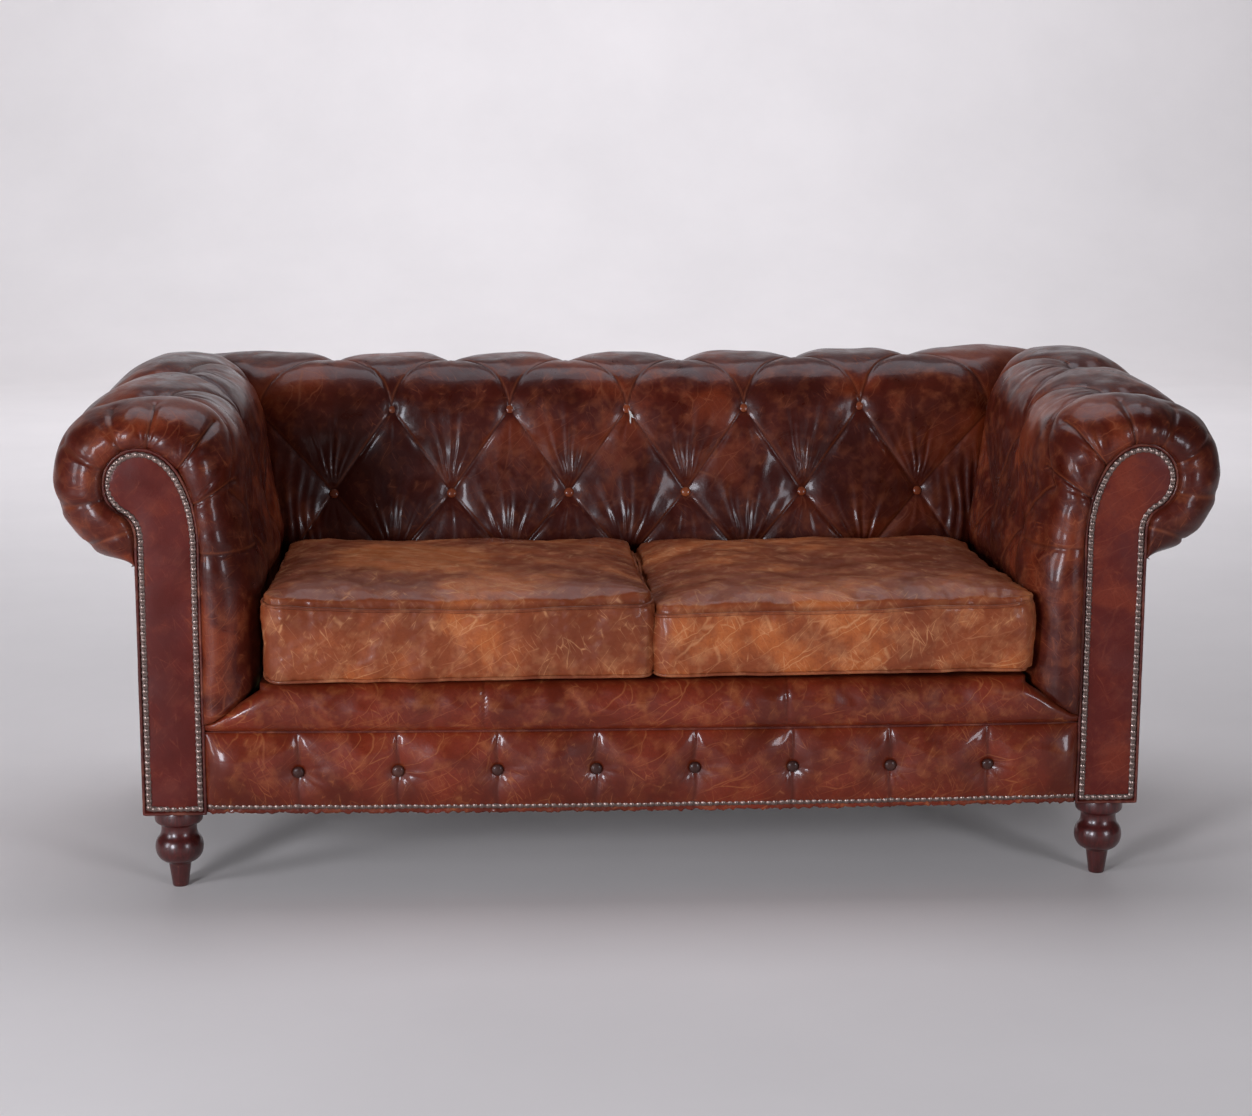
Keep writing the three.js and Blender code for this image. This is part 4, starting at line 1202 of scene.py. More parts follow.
class SOFA_OT_seat_edge(bpy.types.Operator):
    """Make the buttoned border and the padded lip of the seat's front edge"""

    bl_idname = "sofa.seat_edge"
    bl_label = "Seat edge"

    def execute(self, context):
        trim = settings("sofa_trim")
        self.border(trim)
        self.lip(trim)
        return {"FINISHED"}

    def border(self, trim):
        cols, rows = 440, 50
        x = np.repeat(np.linspace(BORDER_LOW.x, BORDER_HIGH.x, cols)[None, :], rows, 0)
        t = np.linspace(0, 1, rows)[:, None]
        drop = border_sag(x, trim)
        ragged = 0.0012 * waves(x, 0 * x, 0.022, 21) + 0.0009 * waves(x, 0 * x, 0.006, 22)
        bottom = BORDER_LOW.z - drop + ragged
        top = BORDER_HIGH.z - 0.6 * drop
        z = bottom + (top - bottom) * t
        nails = BORDER_LOW.z + NAIL_RISE - drop
        puff, crease = np.ones(x.shape), np.zeros(x.shape)
        seats = border_seats()
        for i, (bx, bz) in enumerate(seats):
            side = np.abs(x - bx - 0.0015 * np.sin((z - bz) / 0.012 + i))
            r = np.hypot(x - bx, z - bz)
            puff *= 1 - 0.34 * np.exp(-side / 0.005) - 0.44 * np.exp(-side / 0.045)
            puff *= 1 - np.exp(-(r / 0.025) ** 1.3)
            # Painted shade along each pleat and in each button's pit.
            crease = np.maximum(crease, 0.9 * np.exp(-(side / 0.0030) ** 2))
            crease = np.maximum(crease, np.exp(-(r / 0.014) ** 2))
        above = z - nails
        puff *= np.sin(math.pi * np.clip(above / (top - nails), 0.0, 1.0) ** 1.2) ** 0.62
        ends = np.minimum(x - BORDER_LOW.x, BORDER_HIGH.x - x)
        puff *= 1 - np.exp(-(ends + 0.001) / 0.010)
        puff = np.where(above < 0, 0.0, puff)
        ripple = fans(x, z, [
            (seats, -1.2, 0.0016, 1.3, 0.014, 5.0, 430),
            ([(bx, top) for bx, _ in seats], DOWN, 0.0007, 0.8, 0.020, 2.6, 440)])
        ripple += 0.0012 * waves(x, z, 0.09, 450)
        lift = trim.border_puff * puff + ripple * np.minimum(1, 1.5 * puff)
        frayed = np.where(above < -0.004, 0.0012 * waves(x, z, 0.012, 451), 0.0)
        points = np.stack([x, BORDER_LOW.y + 0.001 - lift - frayed, z], -1)
        piece = panel("border_leather", points, (0, -1, 0), 0.003,
                      {"height": lift / trim.border_puff, "crease": crease})
        finish_piece(piece, "waxed_russet_cowhide", "leather_border", "border_panel", fill=0.6)

    def lip(self, trim):
        """The lip's leather, from the seam over its rounded nose and back under the cushions."""
        nose_y, low, high = FRONT_Y + 0.004, BORDER_HIGH.z + 0.0005, LIP_HIGH.z
        middle, rise = (low + high) / 2, (high - low) / 2
        proud = nose_y - LIP_LOW.y
        angles = np.linspace(-math.pi / 2, math.pi / 2, 46)
        nose = np.column_stack([nose_y - proud * np.cos(angles) ** 0.8,
                                middle + rise * np.sin(angles)])
        back = [[y, high] for y in (nose_y + 0.02, nose_y + 0.045, LIP_HIGH.y)]
        run = np.concatenate([nose, back])
        cols = 320
        slope = (STEM_IN - ARM_IN) / 0.060
        end = ARM_IN + 0.006 + (ARM_LOW.z + 0.062 - run[:, 1]) * slope
        end = np.clip(end, ARM_IN + 0.006, STEM_IN)
        t = np.linspace(-1, 1, cols)[None, :]
        x = end[:, None] * t
        z = np.repeat(run[:, 1:], cols, 1)
        drop = border_sag(x, trim) * 0.6 * np.clip((high - z) / (2 * rise), 0, 1)
        to_end = end[:, None] - np.abs(x)
        tucked = 1 - 0.75 * np.exp(-(to_end + 0.0005) / 0.009)
        seams = [-0.256, 0.222]  # where the lip's lengths of leather are sewn together
        crease = np.zeros(x.shape)
        dip = np.ones(x.shape)
        for seam in seams:
            near = np.abs(x - seam)
            dip *= 1 - 0.16 * np.exp(-near / 0.004)
            # Painted shade along each seam.
            crease = np.maximum(crease, 0.7 * np.exp(-(near / 0.0022) ** 2))
        forward = np.repeat((nose_y - run[:, :1]), cols, 1)
        lumps = 0.07 * waves(x, z, 0.16, 461) + 0.04 * waves(x, z, 0.05, 462)
        lumps = 1 + lumps * (1 - np.exp(-to_end / 0.06))
        forward = np.where(forward > 0, forward * tucked * dip * lumps, forward)
        y = nose_y - forward
        points = np.stack([x, y, z - drop], -1)
        # Painted shade where the lip tucks in under the arms.
        crease = np.maximum(crease, np.exp(-(to_end / 0.006) ** 2))
        piece = new_mesh("lip_leather", points.reshape(-1, 3), grid_faces(*x.shape), fields={
            "height": np.clip(forward / proud, 0, 1), "crease": crease})
        finish_piece(piece, "waxed_russet_cowhide", "leather_border",
                     "lip_cover", "lip_padding", fill=0.7)
        count = 300
        seam_x = np.linspace(-BORDER_HIGH.x, BORDER_HIGH.x, count)
        seam = np.column_stack([seam_x, np.full(count, BORDER_LOW.y - 0.0015),
                                BORDER_HIGH.z - 0.6 * border_sag(seam_x, trim)])
        welt = new_mesh("lip_seam_piping", *tube(seam, 0.0022, closed=False, end_taper=True))
        finish_piece(welt, "front_piping_cowhide", "leather_border")


def border_sag(x, trim):
    """How far the border has dropped at x."""
    return trim.sag * (1 - (x / BORDER_HIGH.x) ** 2)


def border_seats():
    """Where the border's buttons sit, from their frame nodes."""
    seats = []
    for i in range(1, 9):
        low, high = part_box(f"border_button_{i}")
        seats.append(((low.x + high.x) / 2, (low.z + high.z) / 2))
    return seats


# ------------------------------------------------------------------ what repeats: nails, buttons
def button_mesh(name, radius, height):
    """A covered button: a flat dome with a rolled edge, on the z axis."""
    angles = np.linspace(0, math.pi / 2, 9)
    dome = np.column_stack([radius * 0.94 * np.sin(angles) + 1e-5,
                            height * (0.35 + 0.65 * np.cos(angles))])
    edge = np.array([[radius, height * 0.22], [radius * 0.93, 0.0], [radius * 0.6, -height * 0.4]])
    return new_mesh(name, *lathe(np.concatenate([dome, edge]), 28))


def nail_mesh(name, radius):
    """A domed nail head with a thin rim, on the z axis."""
    angles = np.linspace(0, math.pi / 2 * 0.92, 4)
    dome = np.column_stack([radius * 0.82 * np.sin(angles) + 1e-5,
                            radius * (0.12 + 0.46 * np.cos(angles))])
    rim = np.array([[radius, radius * 0.12], [radius, 0.0]])
    return new_mesh(name, *lathe(np.concatenate([dome, rim]), 10))


def nodes_modifier(piece, tree, values):
    """Puts a geometry-nodes tree on a piece, with its inputs set by name."""
    modifier = piece.modifiers.new(tree.name, "NODES")
    modifier.node_group = tree
    for item in tree.interface.items_tree:
        if item.item_type == "SOCKET" and item.in_out == "INPUT" and item.name in values:
            modifier[item.identifier] = values[item.name]


def new_tree(name, sockets):
    """An empty geometry-nodes tree with these named inputs."""
    tree = bpy.data.node_groups.new(name, "GeometryNodeTree")
    tree.interface.new_socket("Geometry", in_out="INPUT", socket_type="NodeSocketGeometry")
    for label, kind, default in sockets:
        socket = tree.interface.new_socket(label, in_out="INPUT", socket_type=kind)
        if default is not None:
            socket.default_value = default
    tree.interface.new_socket("Geometry", in_out="OUTPUT", socket_type="NodeSocketGeometry")
    return tree, tree.nodes.new("NodeGroupInput")


def end_tree(tree, source, instances):
    """Ends a tree: instances made real, with the given material."""
    real = add_node(tree, "GeometryNodeRealizeInstances", {0: instances})
    painted = add_node(tree, "GeometryNodeSetMaterial", {
        "Geometry": real, "Material": source.outputs["Material"]})
    add_node(tree, "NodeGroupOutput", {0: painted})


def nail_tree():
    """Nail heads at an even pitch along a path, each a little off true."""
    tree, source = new_tree("nail_row", [
        ("Head", "NodeSocketObject", None), ("Pitch", "NodeSocketFloat", 0.0104),
        ("Tilt", "NodeSocketFloat", 0.10), ("Material", "NodeSocketMaterial", None),
        ("Seed", "NodeSocketInt", 0)])
    curve = add_node(tree, "GeometryNodeMeshToCurve", {0: source.outputs["Geometry"]})
    even = add_node(tree, "GeometryNodeResampleCurve", {
        "Curve": curve, "Length": source.outputs["Pitch"]}, mode="LENGTH")
    head = add_node(tree, "GeometryNodeObjectInfo", {0: source.outputs["Head"]}, "Geometry")
    # A head tips a little, and is turned more about its own axis.
    least, most = [add_node(tree, "ShaderNodeVectorMath", {
        0: (sign, sign, 9.0 * sign), "Scale": source.outputs["Tilt"]}, operation="SCALE")
        for sign in (-1.0, 1.0)]
    tilt = add_node(tree, "FunctionNodeRandomValue", {
        0: least, 1: most, "Seed": source.outputs["Seed"]}, data_type="FLOAT_VECTOR")
    facing = add_node(tree, "FunctionNodeRotateEuler", {
        0: tilt, 1: (math.pi / 2, 0.0, 0.0)}, space="OBJECT")
    size = add_node(tree, "FunctionNodeRandomValue", {
        2: 0.94, 3: 1.04, "Seed": source.outputs["Seed"]}, 1)
    heads = add_node(tree, "GeometryNodeInstanceOnPoints", {
        "Points": even, "Instance": head, "Rotation": facing, "Scale": size})
    end_tree(tree, source, heads)
    return tree


def button_tree():
    """A covered button at each point, facing along the point's own direction."""
    tree, source = new_tree("covered_buttons", [
        ("Button", "NodeSocketObject", None), ("Size", "NodeSocketFloat", 1.0),
        ("Material", "NodeSocketMaterial", None), ("Seed", "NodeSocketInt", 0)])
    facing = add_node(tree, "GeometryNodeInputNamedAttribute", {
        "Name": "facing"}, data_type="FLOAT_VECTOR")
    aligned = add_node(tree, "FunctionNodeAlignRotationToVector", {"Vector": facing}, axis="Z")
    button = add_node(tree, "GeometryNodeObjectInfo", {0: source.outputs["Button"]}, "Geometry")
    uneven = add_node(tree, "FunctionNodeRandomValue", {
        2: 0.95, 3: 1.06, "Seed": source.outputs["Seed"]}, 1)
    size = add_node(tree, "ShaderNodeMath", {
        0: uneven, 1: source.outputs["Size"]}, operation="MULTIPLY")
    placed = add_node(tree, "GeometryNodeInstanceOnPoints", {
        "Points": source.outputs["Geometry"], "Instance": button, "Rotation": aligned,
        "Scale": size})
    end_tree(tree, source, placed)
    return tree


def made_plain(piece, name):
    """Turns a piece's evaluated modifiers into a plain mesh of its own."""
    evaluated = piece.evaluated_get(bpy.context.evaluated_depsgraph_get())
    mesh = bpy.data.meshes.new_from_object(evaluated)
    bpy.data.objects.remove(piece)
    mesh.name = name
    mesh.polygons.foreach_set("use_smooth", np.ones(len(mesh.polygons), bool))
    return add_object(name, mesh)


def path_object(name, points, closed=False):
    """A run of edges, for a tree that follows a path."""
    mesh = bpy.data.meshes.new(name)
    edges = [(i, i + 1) for i in range(len(points) - 1)]
    if closed:
        edges.append((len(points) - 1, 0))
    mesh.from_pydata([tuple(p) for p in points], edges, [])
    return add_object(name, mesh)


class SOFA_OT_nails(bpy.types.Operator):
    """Drive the rows of brass nails round the arm fronts and along the border"""

    bl_idname = "sofa.nails"
    bl_label = "Nails"

    def execute(self, context):
        trim = settings("sofa_trim")
        outline = scroll_outline(inset=trim.nail_inset, bottom=FACING_LOW.z + trim.nail_inset)
        rows = []
        for seed, (word, side) in enumerate(SIDES.items()):
            y = np.full(len(outline), FRONT_Y - 0.0040)
            path = np.column_stack([outline[:, 0] * side, y, outline[:, 1]])
            rows.append((f"nails_arm_{word}", path, True, seed))
        count = 200
        x = np.linspace(BORDER_LOW.x + 0.006, BORDER_HIGH.x - 0.006, count)
        z = BORDER_LOW.z + NAIL_RISE - border_sag(x, trim) + 0.0004 * waves(x, 0 * x, 0.05, 23)
        path = np.column_stack([x, np.full(count, BORDER_LOW.y + 0.0005), z])
        rows.append(("nails_border", path, False, 9))
        tree = nail_tree()
        head = nail_mesh("nail_head", trim.nail_radius)
        for name, path, closed, seed in rows:
            base = path_object(name + "_path", path, closed)
            nodes_modifier(base, tree, {
                "Head": head, "Pitch": trim.nail_pitch, "Tilt": 0.10, "Seed": seed,
                "Material": bpy.data.materials["antique_brass"]})
            finish_piece(made_plain(base, name), "antique_brass", "brass_nails")
            finish_piece(self.strip(name, path, closed, trim), "rubbed_brass_strip", "brass_nails")
        bpy.data.objects.remove(head)
        return {"FINISHED"}

    def strip(self, name, path, closed, trim):
        """The thin beaded band that the nails hold down."""
        run = np.concatenate([path, path[:1]]) if closed else path
        total = along(run)[-1]
        count = int(total / 0.0027)
        points = resample(run, np.linspace(0, total, count, endpoint=not closed))
        across = np.cross(headings(points, closed), np.array([0.0, -1.0, 0.0]))
        beat = 0.0043 + 0.0007 * np.cos(np.linspace(0, total, count) / trim.nail_pitch * 2 * math.pi)
        profile = [(-1.0, -0.0004), (-0.9, 0.0003), (-0.6, 0.0005), (0.6, 0.0005), (0.9, 0.0003),
                   (1.0, -0.0004)]
        rows = [points + across * (beat * w)[:, None] + np.array([0, -h, 0]) for w, h in profile]
        return new_mesh(name + "_strip", np.concatenate(rows),
                        grid_faces(len(profile), count, ring=closed))


class SOFA_OT_buttons(bpy.types.Operator):
    """Sew the covered buttons into the back, the arms and the border"""

    bl_idname = "sofa.buttons"
    bl_label = "Buttons"

    def execute(self, context):
        tuft = settings("sofa_tufting")
        tree = button_tree()
        height = 0.0052
        pattern = button_mesh("button_pattern", tuft.button_radius, height)
        pale, dark = "button_cowhide", "border_button_cowhide"
        back = WALLS["back"]
        border = [((x, BORDER_LOW.y - 0.0030, z), (0, -1, 0)) for x, z in border_seats()]
        nodes = [f"border_button_{i}" for i in range(1, 9)]
        # Name, seats, finish, seed, size and the frame's nodes.
        for name, seats, finish, seed, size, replaced in (
                ("buttons_back", button_seats(back, back["seats"]), pale, 0, 1.0, []),
                *((f"buttons_arm_{word}", button_seats(WALLS[word], WALLS[word]["seats"]), dark,
                   1 + i, 1.0, []) for i, word in enumerate(SIDES)),
                ("buttons_corners", button_seats(back, back["corners"]), dark, 7, 1.0, []),
                ("buttons_border", border, dark, 5, 1.08, nodes)):
            mesh = bpy.data.meshes.new(name)
            mesh.from_pydata([tuple(place) for place, _ in seats], [], [])
            facing = mesh.attributes.new("facing", "FLOAT_VECTOR", "POINT")
            directions = np.array([tuple(way) for _, way in seats], np.float32)
            facing.data.foreach_set("vector", directions.ravel())
            base = add_object(name + "_seats", mesh)
            nodes_modifier(base, tree, {"Button": pattern, "Size": size, "Seed": seed,
                                        "Material": bpy.data.materials[finish]})
            finish_piece(made_plain(base, name), finish, "leather_button", *replaced)
        bpy.data.objects.remove(pattern)
        return {"FINISHED"}


class SOFA_OT_cushions(bpy.types.Operator):
    """Fill the two seat cushions and sew their piping"""

    bl_idname = "sofa.cushions"
    bl_label = "Seat cushions"

    def execute(self, context):
        trim = settings("sofa_trim")
        for seed, word in enumerate(SIDES):
            low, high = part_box(f"seat_cushion_{word}")
            body = self.body(f"cushion_{word}", low, high)
            self.inflate(body)
            self.sew_and_wear(body, low, high, seed, trim, word)
        return {"FINISHED"}

    def outline(self, low, high, inset, count):
        """Plan of the cushion's seams, from its middle front to the right and all the way round."""
        r = 0.030
        x0, x1, y0, y1 = low.x + inset, high.x - inset, low.y + inset, high.y - inset
        quarter = math.pi / 2
        middle_front = [[(x0 + x1) / 2, y0]]
        centres = ((x1 - r, y0 + r), (x1 - r, y1 - r), (x0 + r, y1 - r), (x0 + r, y0 + r))
        corners = [arc(centre, r, (i - 1) * quarter, i * quarter, 12)
                   for i, centre in enumerate(centres)]
        run = np.concatenate([middle_front, *corners, middle_front])
        return resample(run, np.linspace(0, along(run)[-1], count, endpoint=False))

    def body(self, name, low, high):
        """A closed boxed cushion with a crowned top, sides that bulge and a flat underside."""
        count = 240
        inset = 0.007
        loop = self.outline(low, high, inset, count)
        centre = loop.mean(0)
        welt_low, welt_high = low.z + 0.006, high.z - 0.021
        rings = []
        for t in np.linspace(0, 1, 9)[1:]:
            rings.append((t ** 0.8, low.z + 0.001 + 0.005 * t ** 6, 0.0))
        for t in np.linspace(0, 1, 16)[1:]:
            swell = 0.004 * math.sin(math.pi * t)
            rings.append((1.0, welt_low + (welt_high - welt_low) * t, swell))
        for t in np.linspace(1, 0, 22)[1:-1]:
            rings.append((t, welt_high + (high.z - 0.004 - welt_high) * (1 - t ** 3.2), 0.0))
        points = [np.array([[centre[0], centre[1], low.z + 0.001]])]
        away = unit(loop - centre)
        for share, z, swell in rings:
            ring = centre + (loop - centre) * share + away * swell
            points.append(np.column_stack([ring, np.full(count, z)]))
        points.append(np.array([[centre[0], centre[1], high.z - 0.004]]))
        body_points = np.concatenate(points)
        grid = grid_faces(len(rings), count, ring=True) + 1
        last = len(body_points) - 1
        j = np.arange(count)
        following = (j + 1) % count
        top = 1 + (len(rings) - 1) * count
        underside = np.stack([np.zeros(count, int), following + 1, j + 1], -1)
        upside = np.stack([np.full(count, last), top + j, top + following], -1)
        mesh = bpy.data.meshes.new(name)
        faces = grid.tolist() + underside.tolist() + upside.tolist()
        mesh.from_pydata(body_points.tolist(), [], faces)
        piece = add_object(name, mesh)
        voxel = 0.0085
        remesh = piece.modifiers.new("remesh", "REMESH")
        remesh.mode, remesh.voxel_size = "VOXEL", voxel
        return made_plain(piece, name)

    def inflate(self, body):
        """Blows the cushion up as cloth under pressure, and keeps the wrinkles that it makes."""
        start = np.array([v.co for v in body.data.vertices])
        cloth = body.modifiers.new("cloth", "CLOTH").settings
        cloth.quality, cloth.mass = 5, 0.35
        cloth.tension_stiffness = cloth.compression_stiffness = 18
        cloth.shear_stiffness, cloth.bending_stiffness = 8, 0.8
        cloth.use_pressure, cloth.uniform_pressure_force = True, 4.0
        cloth.effector_weights.gravity = 0
        scene = bpy.context.scene
        last_frame = 18
        for number in range(1, last_frame + 1):
            scene.frame_set(number)
        evaluated = body.evaluated_get(bpy.context.evaluated_depsgraph_get())
        swollen = np.array([v.co for v in evaluated.data.vertices])
        body.modifiers.clear()
        move = swollen - start
        far = np.linalg.norm(move, axis=1, keepdims=True)
        most = 0.007  # how far a point may move
        move *= np.minimum(1, most / np.maximum(far, 1e-9))
        body.data.vertices.foreach_set("co", (start + move).astype(np.float32).ravel())
        scene.frame_set(1)

    def sew_and_wear(self, body, low, high, seed, trim, word):
        """Subdivides the swollen body, draws in its seams, creases it and adds the piping."""
        subdivide = body.modifiers.new("smooth", "SUBSURF")
        subdivide.levels = subdivide.render_levels = 1
        body = made_plain(body, body.name)
        co = np.empty(len(body.data.vertices) * 3, np.float32)
        body.data.vertices.foreach_get("co", co)
        co = self.settled(co.reshape(-1, 3).astype(float), low, high, word)
        normal = np.empty(len(co) * 3, np.float32)
        body.data.vertices.foreach_get("normal", normal)
        normal = normal.reshape(-1, 3).astype(float)
        x, y, z = co.T
        seams = [low.z + 0.0055, high.z - 0.0195]
        edge_in = self.plan_depth(x, y, low, high)
        side_share = 1 - smoothstep(np.abs(normal[:, 2]), 0.55, 0.9)
        lift = np.zeros(len(co))
        crease = np.zeros(len(co))
        for i, seam_z in enumerate(seams):
            near = np.abs(z - self.seam_level(x, y, seam_z, low, high, word, seed, i))
            close = np.hypot(near, np.maximum(edge_in - 0.010, 0))
            lift -= 0.0030 * np.exp(-(close / 0.0055) ** 2)
            # Painted shade along the seam, beside the piping.
            crease = np.maximum(crease, 0.6 * np.exp(-(close / 0.005) ** 2))
            gather = np.sin(2 * math.pi * (x + y) / 0.0135 + 2.4 * waves(x, y, 0.08, 510 + i + seed))
            lift += 0.0006 * gather * np.exp(-near / 0.022) * side_share
        top = smoothstep(normal[:, 2], 0.5, 0.95)
        lift += top * (0.0022 * waves(x, y, 0.24, 520 + seed)
                       + 0.0009 * waves(x, y, 0.07, 530 + seed))
        puckers = np.sin(2 * math.pi * edge_line(x, y, low, high) / 0.024
                         + 2.5 * waves(x, y, 0.15, 535 + seed))
        lift += top * 0.0009 * puckers * np.exp(-edge_in / 0.035)
        lift += side_share * (0.0016 * waves(x + y, z, 0.09, 540 + seed)
                              + 0.0005 * waves(x + y, z, 0.022, 550 + seed))
        co += normal * lift[:, None]
        co[:, 2] = np.maximum(co[:, 2], low.z + 0.0002 - self.hang(co[:, 0], co[:, 1], low))
        body.data.vertices.foreach_set("co", co.astype(np.float32).ravel())
        set_fields(body.data, {"height": np.full(len(co), 0.8), "crease": crease})
        body.data.update()
        finish_piece(body, "rubbed_cognac_cowhide", "leather_cushion", f"seat_cushion_{word}",
                     fill=0.75)
        self.piping(body, low, high, seams, trim, seed, word)

    def settled(self, co, low, high, word):
        """Pushes the body out to fill its place, and lets its top edge dip where it was sat on."""
        fit = ((low.x - 0.004, high.x + 0.003), (low.y - 0.006, high.y), (low.z, high.z + 0.014))
        for axis, (start, end) in enumerate(fit):
            span = (co[:, axis].min(), co[:, axis].max())
            co[:, axis] = np.interp(co[:, axis], span, (start, end))
        upper = smoothstep(co[:, 2], (low.z + high.z) / 2 - 0.03, high.z - 0.02)
        lower = 1 - smoothstep(co[:, 2], low.z + 0.01, (low.z + high.z) / 2)
        rise = self.dip(co[:, 0], co[:, 1], low, high, word) * upper
        hang = self.hang(co[:, 0], co[:, 1], low) * lower
        co[:, 2] += rise - hang
        wider_left, wider_right = SETTLED_WIDER[word]
        t = (co[:, 0] - low.x) / (high.x - low.x)
        front = 1 - smoothstep(co[:, 1], low.y, low.y + 0.28)
        co[:, 0] += (t * wider_right - (1 - t) * wider_left) * front
        return co

    def hang(self, x, y, low):
        """How far the front of the cushion hangs over the rounded lip: most at the left."""
        return np.interp(x, [-0.6, 0.6], [0.011, 0.001]) * (1 - smoothstep(y, low.y, low.y + 0.05))

    def dip(self, x, y, low, high, word):
        """How far the cushion's top edge has dropped or risen: most at the front."""
        left, middle, right = SETTLED_RISE[word]
        t = (x - low.x) / (high.x - low.x)
        level = left * (1 - t) * (1 - 2 * t) + 4 * middle * t * (1 - t) + right * t * (2 * t - 1)
        return level * (1 - 0.7 * smoothstep(y, low.y, high.y))

    def seam_level(self, x, y, seam_z, low, high, word, seed, i):
        """Height of a seam: the lower one nearly level, the upper one with the top edge."""
        level = seam_z + 0.0010 * waves(x, y, 0.30, 500 + seed * 7 + i)
        return level + (self.dip(x, y, low, high, word) if i else -self.hang(x, y, low))

    def plan_depth(self, x, y, low, high):
        """How far in from the nearest side of the cushion a point is, in plan."""
        return np.minimum(np.minimum(x - low.x, high.x - x), np.minimum(y - low.y, high.y - y))

    def piping(self, body, low, high, seams, trim, seed, word):
        """Two rounds of piping, laid on the body along its seams."""
        surface = BVHTree.FromObject(body, bpy.context.evaluated_depsgraph_get())
        parts = []
        for i, seam_z in enumerate(seams):
            loop = self.outline(low, high, -0.010, 400)
            level = self.seam_level(loop[:, 0], loop[:, 1], seam_z, low, high, word, seed, i)
            path = []
            for (px, py), pz in zip(loop, level):
                spot = surface.find_nearest(Vector((px, py, pz)))[0]
                outward = (Vector((px, py, pz)) - spot).normalized()
                path.append(tuple(spot + outward * trim.welt * 0.35))
            path = np.array(path)
            smoothings = 8
            for _ in range(smoothings):
                path = (np.roll(path, 1, 0) + 2 * path + np.roll(path, -1, 0)) / 4
            parts.append(tube(path, trim.welt))
        piece = joined(f"cushion_piping_{word}", parts)
        finish_piece(piece, "cushion_piping_cowhide", "leather_cushion")


def edge_line(x, y, low, high):
    """A coordinate that runs along the nearest side of a cushion."""
    to_x = np.minimum(x - low.x, high.x - x)
    to_y = np.minimum(y - low.y, high.y - y)
    return np.where(to_x < to_y, y, x)


class SOFA_OT_outside(bpy.types.Operator):
    """Make the plain outside panels of the arms and the back"""

    bl_idname = "sofa.outside"
    bl_label = "Outside panels"

    def execute(self, context):
        outside = "plain_oxblood_cowhide"
        for word, side in SIDES.items():
            u, z, lift = self.puffed(PANEL_LOW.y, PANEL_HIGH.y, 90, 600 + side)
            x = (PANEL_HIGH.x - 0.001 + lift) * side
            piece = panel(f"outside_leather_{word}", np.stack([x, u, z], -1), (side, 0, 0), 0.003,
                          flip=side < 0)
            finish_piece(piece, outside, "leather_outside", f"outside_arm_{word}")
        u, z, lift = self.puffed(REAR_LOW.x, REAR_HIGH.x, 160, 610)
        y = REAR_HIGH.y - 0.001 + lift
        piece = panel("outside_leather_back", np.stack([u, y, z], -1), (0, 1, 0), 0.003, flip=True)
        finish_piece(piece, outside, "leather_outside", "outside_back")
        return {"FINISHED"}

    def puffed(self, start, end, cols, seed):
        """A grid over a panel's face, and how far its leather stands off the card."""
        rows = 48
        u = np.repeat(np.linspace(start, end, cols)[None, :], rows, 0)
        z = np.repeat(np.linspace(PANEL_LOW.z, PANEL_HIGH.z, rows)[:, None], cols, 1)
        rim = np.minimum(np.minimum(u - start, end - u),
                         np.minimum(z - PANEL_LOW.z, PANEL_HIGH.z - z))
        lift = 0.004 * (1 - np.exp(-rim / 0.05)) + 0.0012 * waves(u, z, 0.2, seed)
        lift = (lift + 0.0002 * waves(u, z, 0.06, seed + 5)) * smoothstep(rim, -0.001, 0.012)
        return u, z, lift


class SOFA_OT_feet(bpy.types.Operator):
    """Turn the front feet and stain the back legs"""

    bl_idname = "sofa.feet"
    bl_label = "Feet"

    def execute(self, context):
        wood = "stained_mahogany"
        profile = self.foot_profile()
        for word in SIDES:
            low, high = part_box(f"front_foot_{word}")
            points, faces = lathe(profile, 48)
            points = points + np.array([(low.x + high.x) / 2, (low.y + high.y) / 2, 0.0])
            piece = new_mesh(f"foot_{word}", points, faces)
            finish_piece(piece, wood, "mahogany", f"front_foot_{word}")
            paint_piece(frame["nodes"][f"rear_leg_{word}"], wood)
        return {"FINISHED"}

    def foot_profile(self):
        """Radius and height of the turned foot, from its top down to the floor."""
        top = FOOT_TOP
        collar = [(1e-5, top), (0.0360, top), (0.0380, top - 0.004), (0.0380, 0.112),
                  (0.0372, 0.1085), (0.0345, 0.1055), (0.0300, 0.1035), (0.0285, 0.1000)]
        neck = bezier([(0.0285, 0.100), (0.0275, 0.094), (0.0285, 0.088), (0.0320, 0.083)], 8)
        bulb = bezier([(0.0320, 0.083), (0.0405, 0.074), (0.0405, 0.055), (0.0300, 0.0455)], 16)
        foot = bezier([(0.0300, 0.0455), (0.0235, 0.0405), (0.0190, 0.0405), (0.0178, 0.038)], 6)
        taper = [(0.0176, 0.036), (0.0150, 0.018), (0.0128, 0.002), (0.0118, 0.0), (1e-5, 0.0)]
        return np.concatenate([collar, neck, bulb, foot, taper])


class SOFA_OT_frayed_thread(bpy.types.Operator):
    """Hang the frayed end of button thread from the middle button of the back"""

    bl_idname = "sofa.frayed_thread"
    bl_label = "Frayed thread"

    def execute(self, context):
        middle = (0.0, at_height(settings("sofa_tufting").row_high))
        (seat, _), = button_seats(WALLS["back"], [(middle, 0.010)])
        strands = []
        t = np.linspace(0, 1, 9)
        ends = [(0.004, -0.022), (0.0085, -0.012), (0.0065, -0.0085)]
        for i, (dx, dz) in enumerate(ends):
            x = seat[0] + 0.004 + dx * t + 0.0012 * np.sin(5 * t + i)
            z = seat[2] - 0.004 + dz * t
            y = seat[1] - 0.006 - 0.006 * t
            strands.append(tube(np.column_stack([x, y, z]), 0.0012, sides=6, closed=False,
                                end_taper=True))
        piece = joined("frayed_thread", strands)
        finish_piece(piece, "linen_thread", "thread")
        return {"FINISHED"}


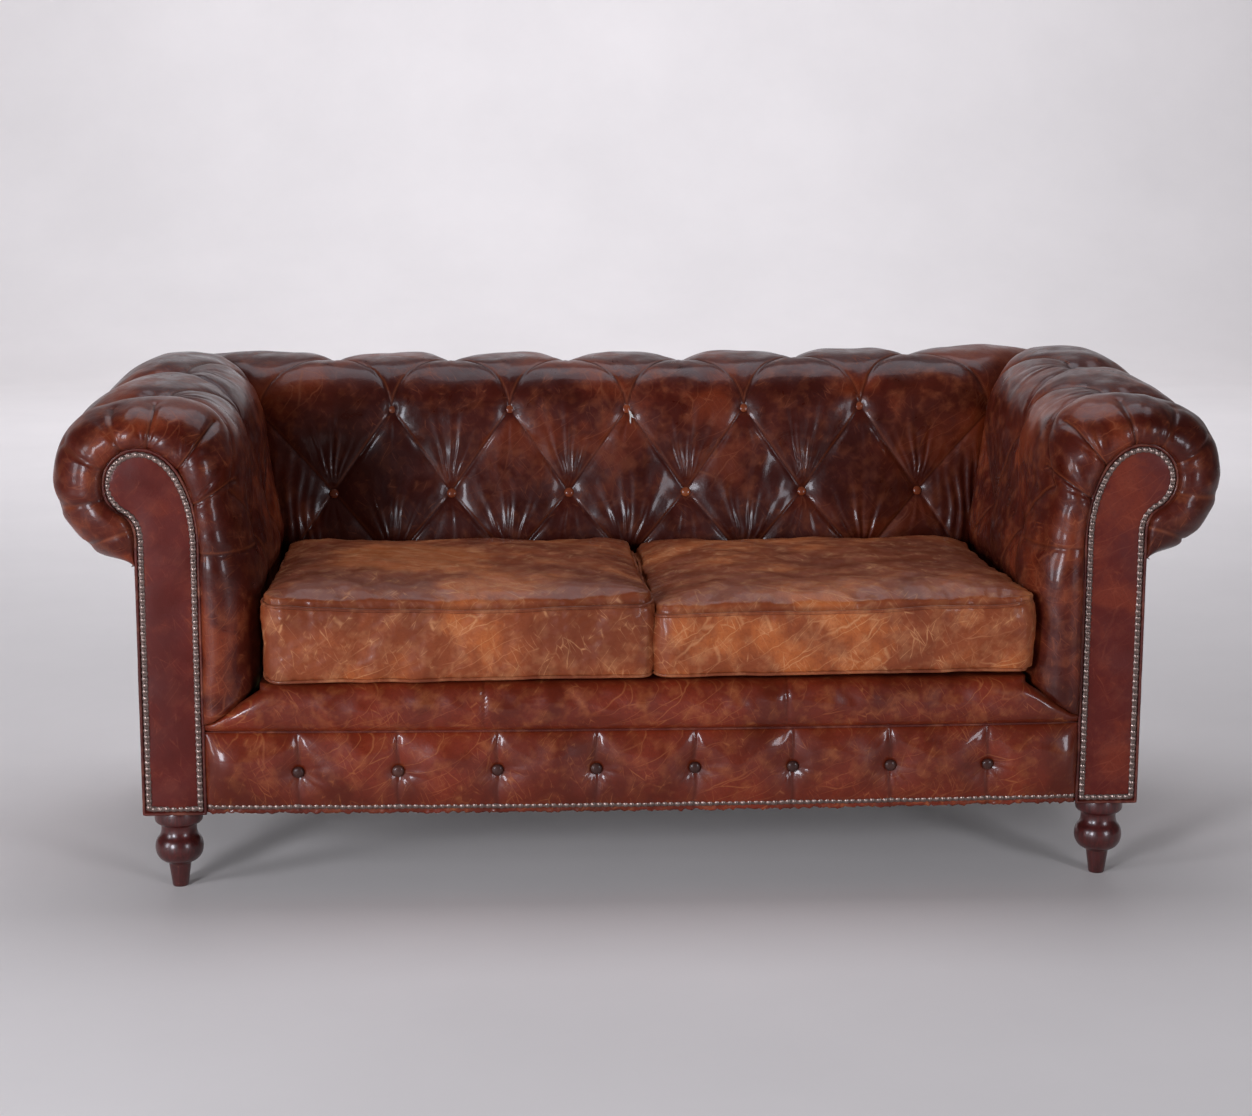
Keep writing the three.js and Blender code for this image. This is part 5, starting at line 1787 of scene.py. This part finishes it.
class SOFA_OT_inner_frame(bpy.types.Operator):
    """Paint the timber, springs and cloth inside the sofa"""

    bl_idname = "sofa.inner_frame"
    bl_label = "Inner frame"

    def execute(self, context):
        finish_of = {"timber": "sawn_beech", "spring_steel": "drawn_spring_wire",
                     "foam": "upholstery_foam", "hessian": "woven_hessian",
                     "cambric": "black_cambric", "mahogany": "stained_mahogany"}
        slots = {part["node"]: part["material_slot"] for part in frame["record"]["subparts"]}
        for node, piece in frame["nodes"].items():
            if slots[node] in finish_of:
                paint_piece(piece, finish_of[slots[node]])
        return {"FINISHED"}


class SOFA_PT_panel(bpy.types.Panel):
    """Lists the sofa's pieces in the sidebar"""

    bl_label = "Leather sofa"
    bl_idname = "SOFA_PT_panel"
    bl_space_type = "VIEW_3D"
    bl_region_type = "UI"
    bl_category = "Sofa"

    def draw(self, context):
        for group in ("sofa_tufting", "sofa_trim", "sofa_colours", "sofa_stage"):
            box = self.layout.box()
            values = getattr(context.scene, group)
            for key in values.__annotations__:
                box.prop(values, key)
        for operator in OPERATORS:
            self.layout.operator(operator.bl_idname)


GROUPS = {"sofa_tufting": SofaTufting, "sofa_trim": SofaTrim, "sofa_colours": SofaColours,
          "sofa_stage": SofaStage}
OPERATORS = [SOFA_OT_stage, SOFA_OT_finishes, SOFA_OT_back, SOFA_OT_arms, SOFA_OT_arm_fronts,
             SOFA_OT_seat_edge, SOFA_OT_buttons, SOFA_OT_nails, SOFA_OT_cushions,
             SOFA_OT_outside, SOFA_OT_feet, SOFA_OT_frayed_thread, SOFA_OT_inner_frame]


def register():
    for name, group in GROUPS.items():
        bpy.utils.register_class(group)
        setattr(bpy.types.Scene, name, bpy.props.PointerProperty(type=group))
    for cls in [*OPERATORS, SOFA_PT_panel]:
        bpy.utils.register_class(cls)


def unregister():
    for cls in [*OPERATORS, SOFA_PT_panel]:
        bpy.utils.unregister_class(cls)
    for name, group in GROUPS.items():
        delattr(bpy.types.Scene, name)
        bpy.utils.unregister_class(group)


def main():
    register()
    for operator in OPERATORS:
        getattr(bpy.ops.sofa, operator.bl_idname.split(".")[1])()


if __name__ == "__main__":
    main()
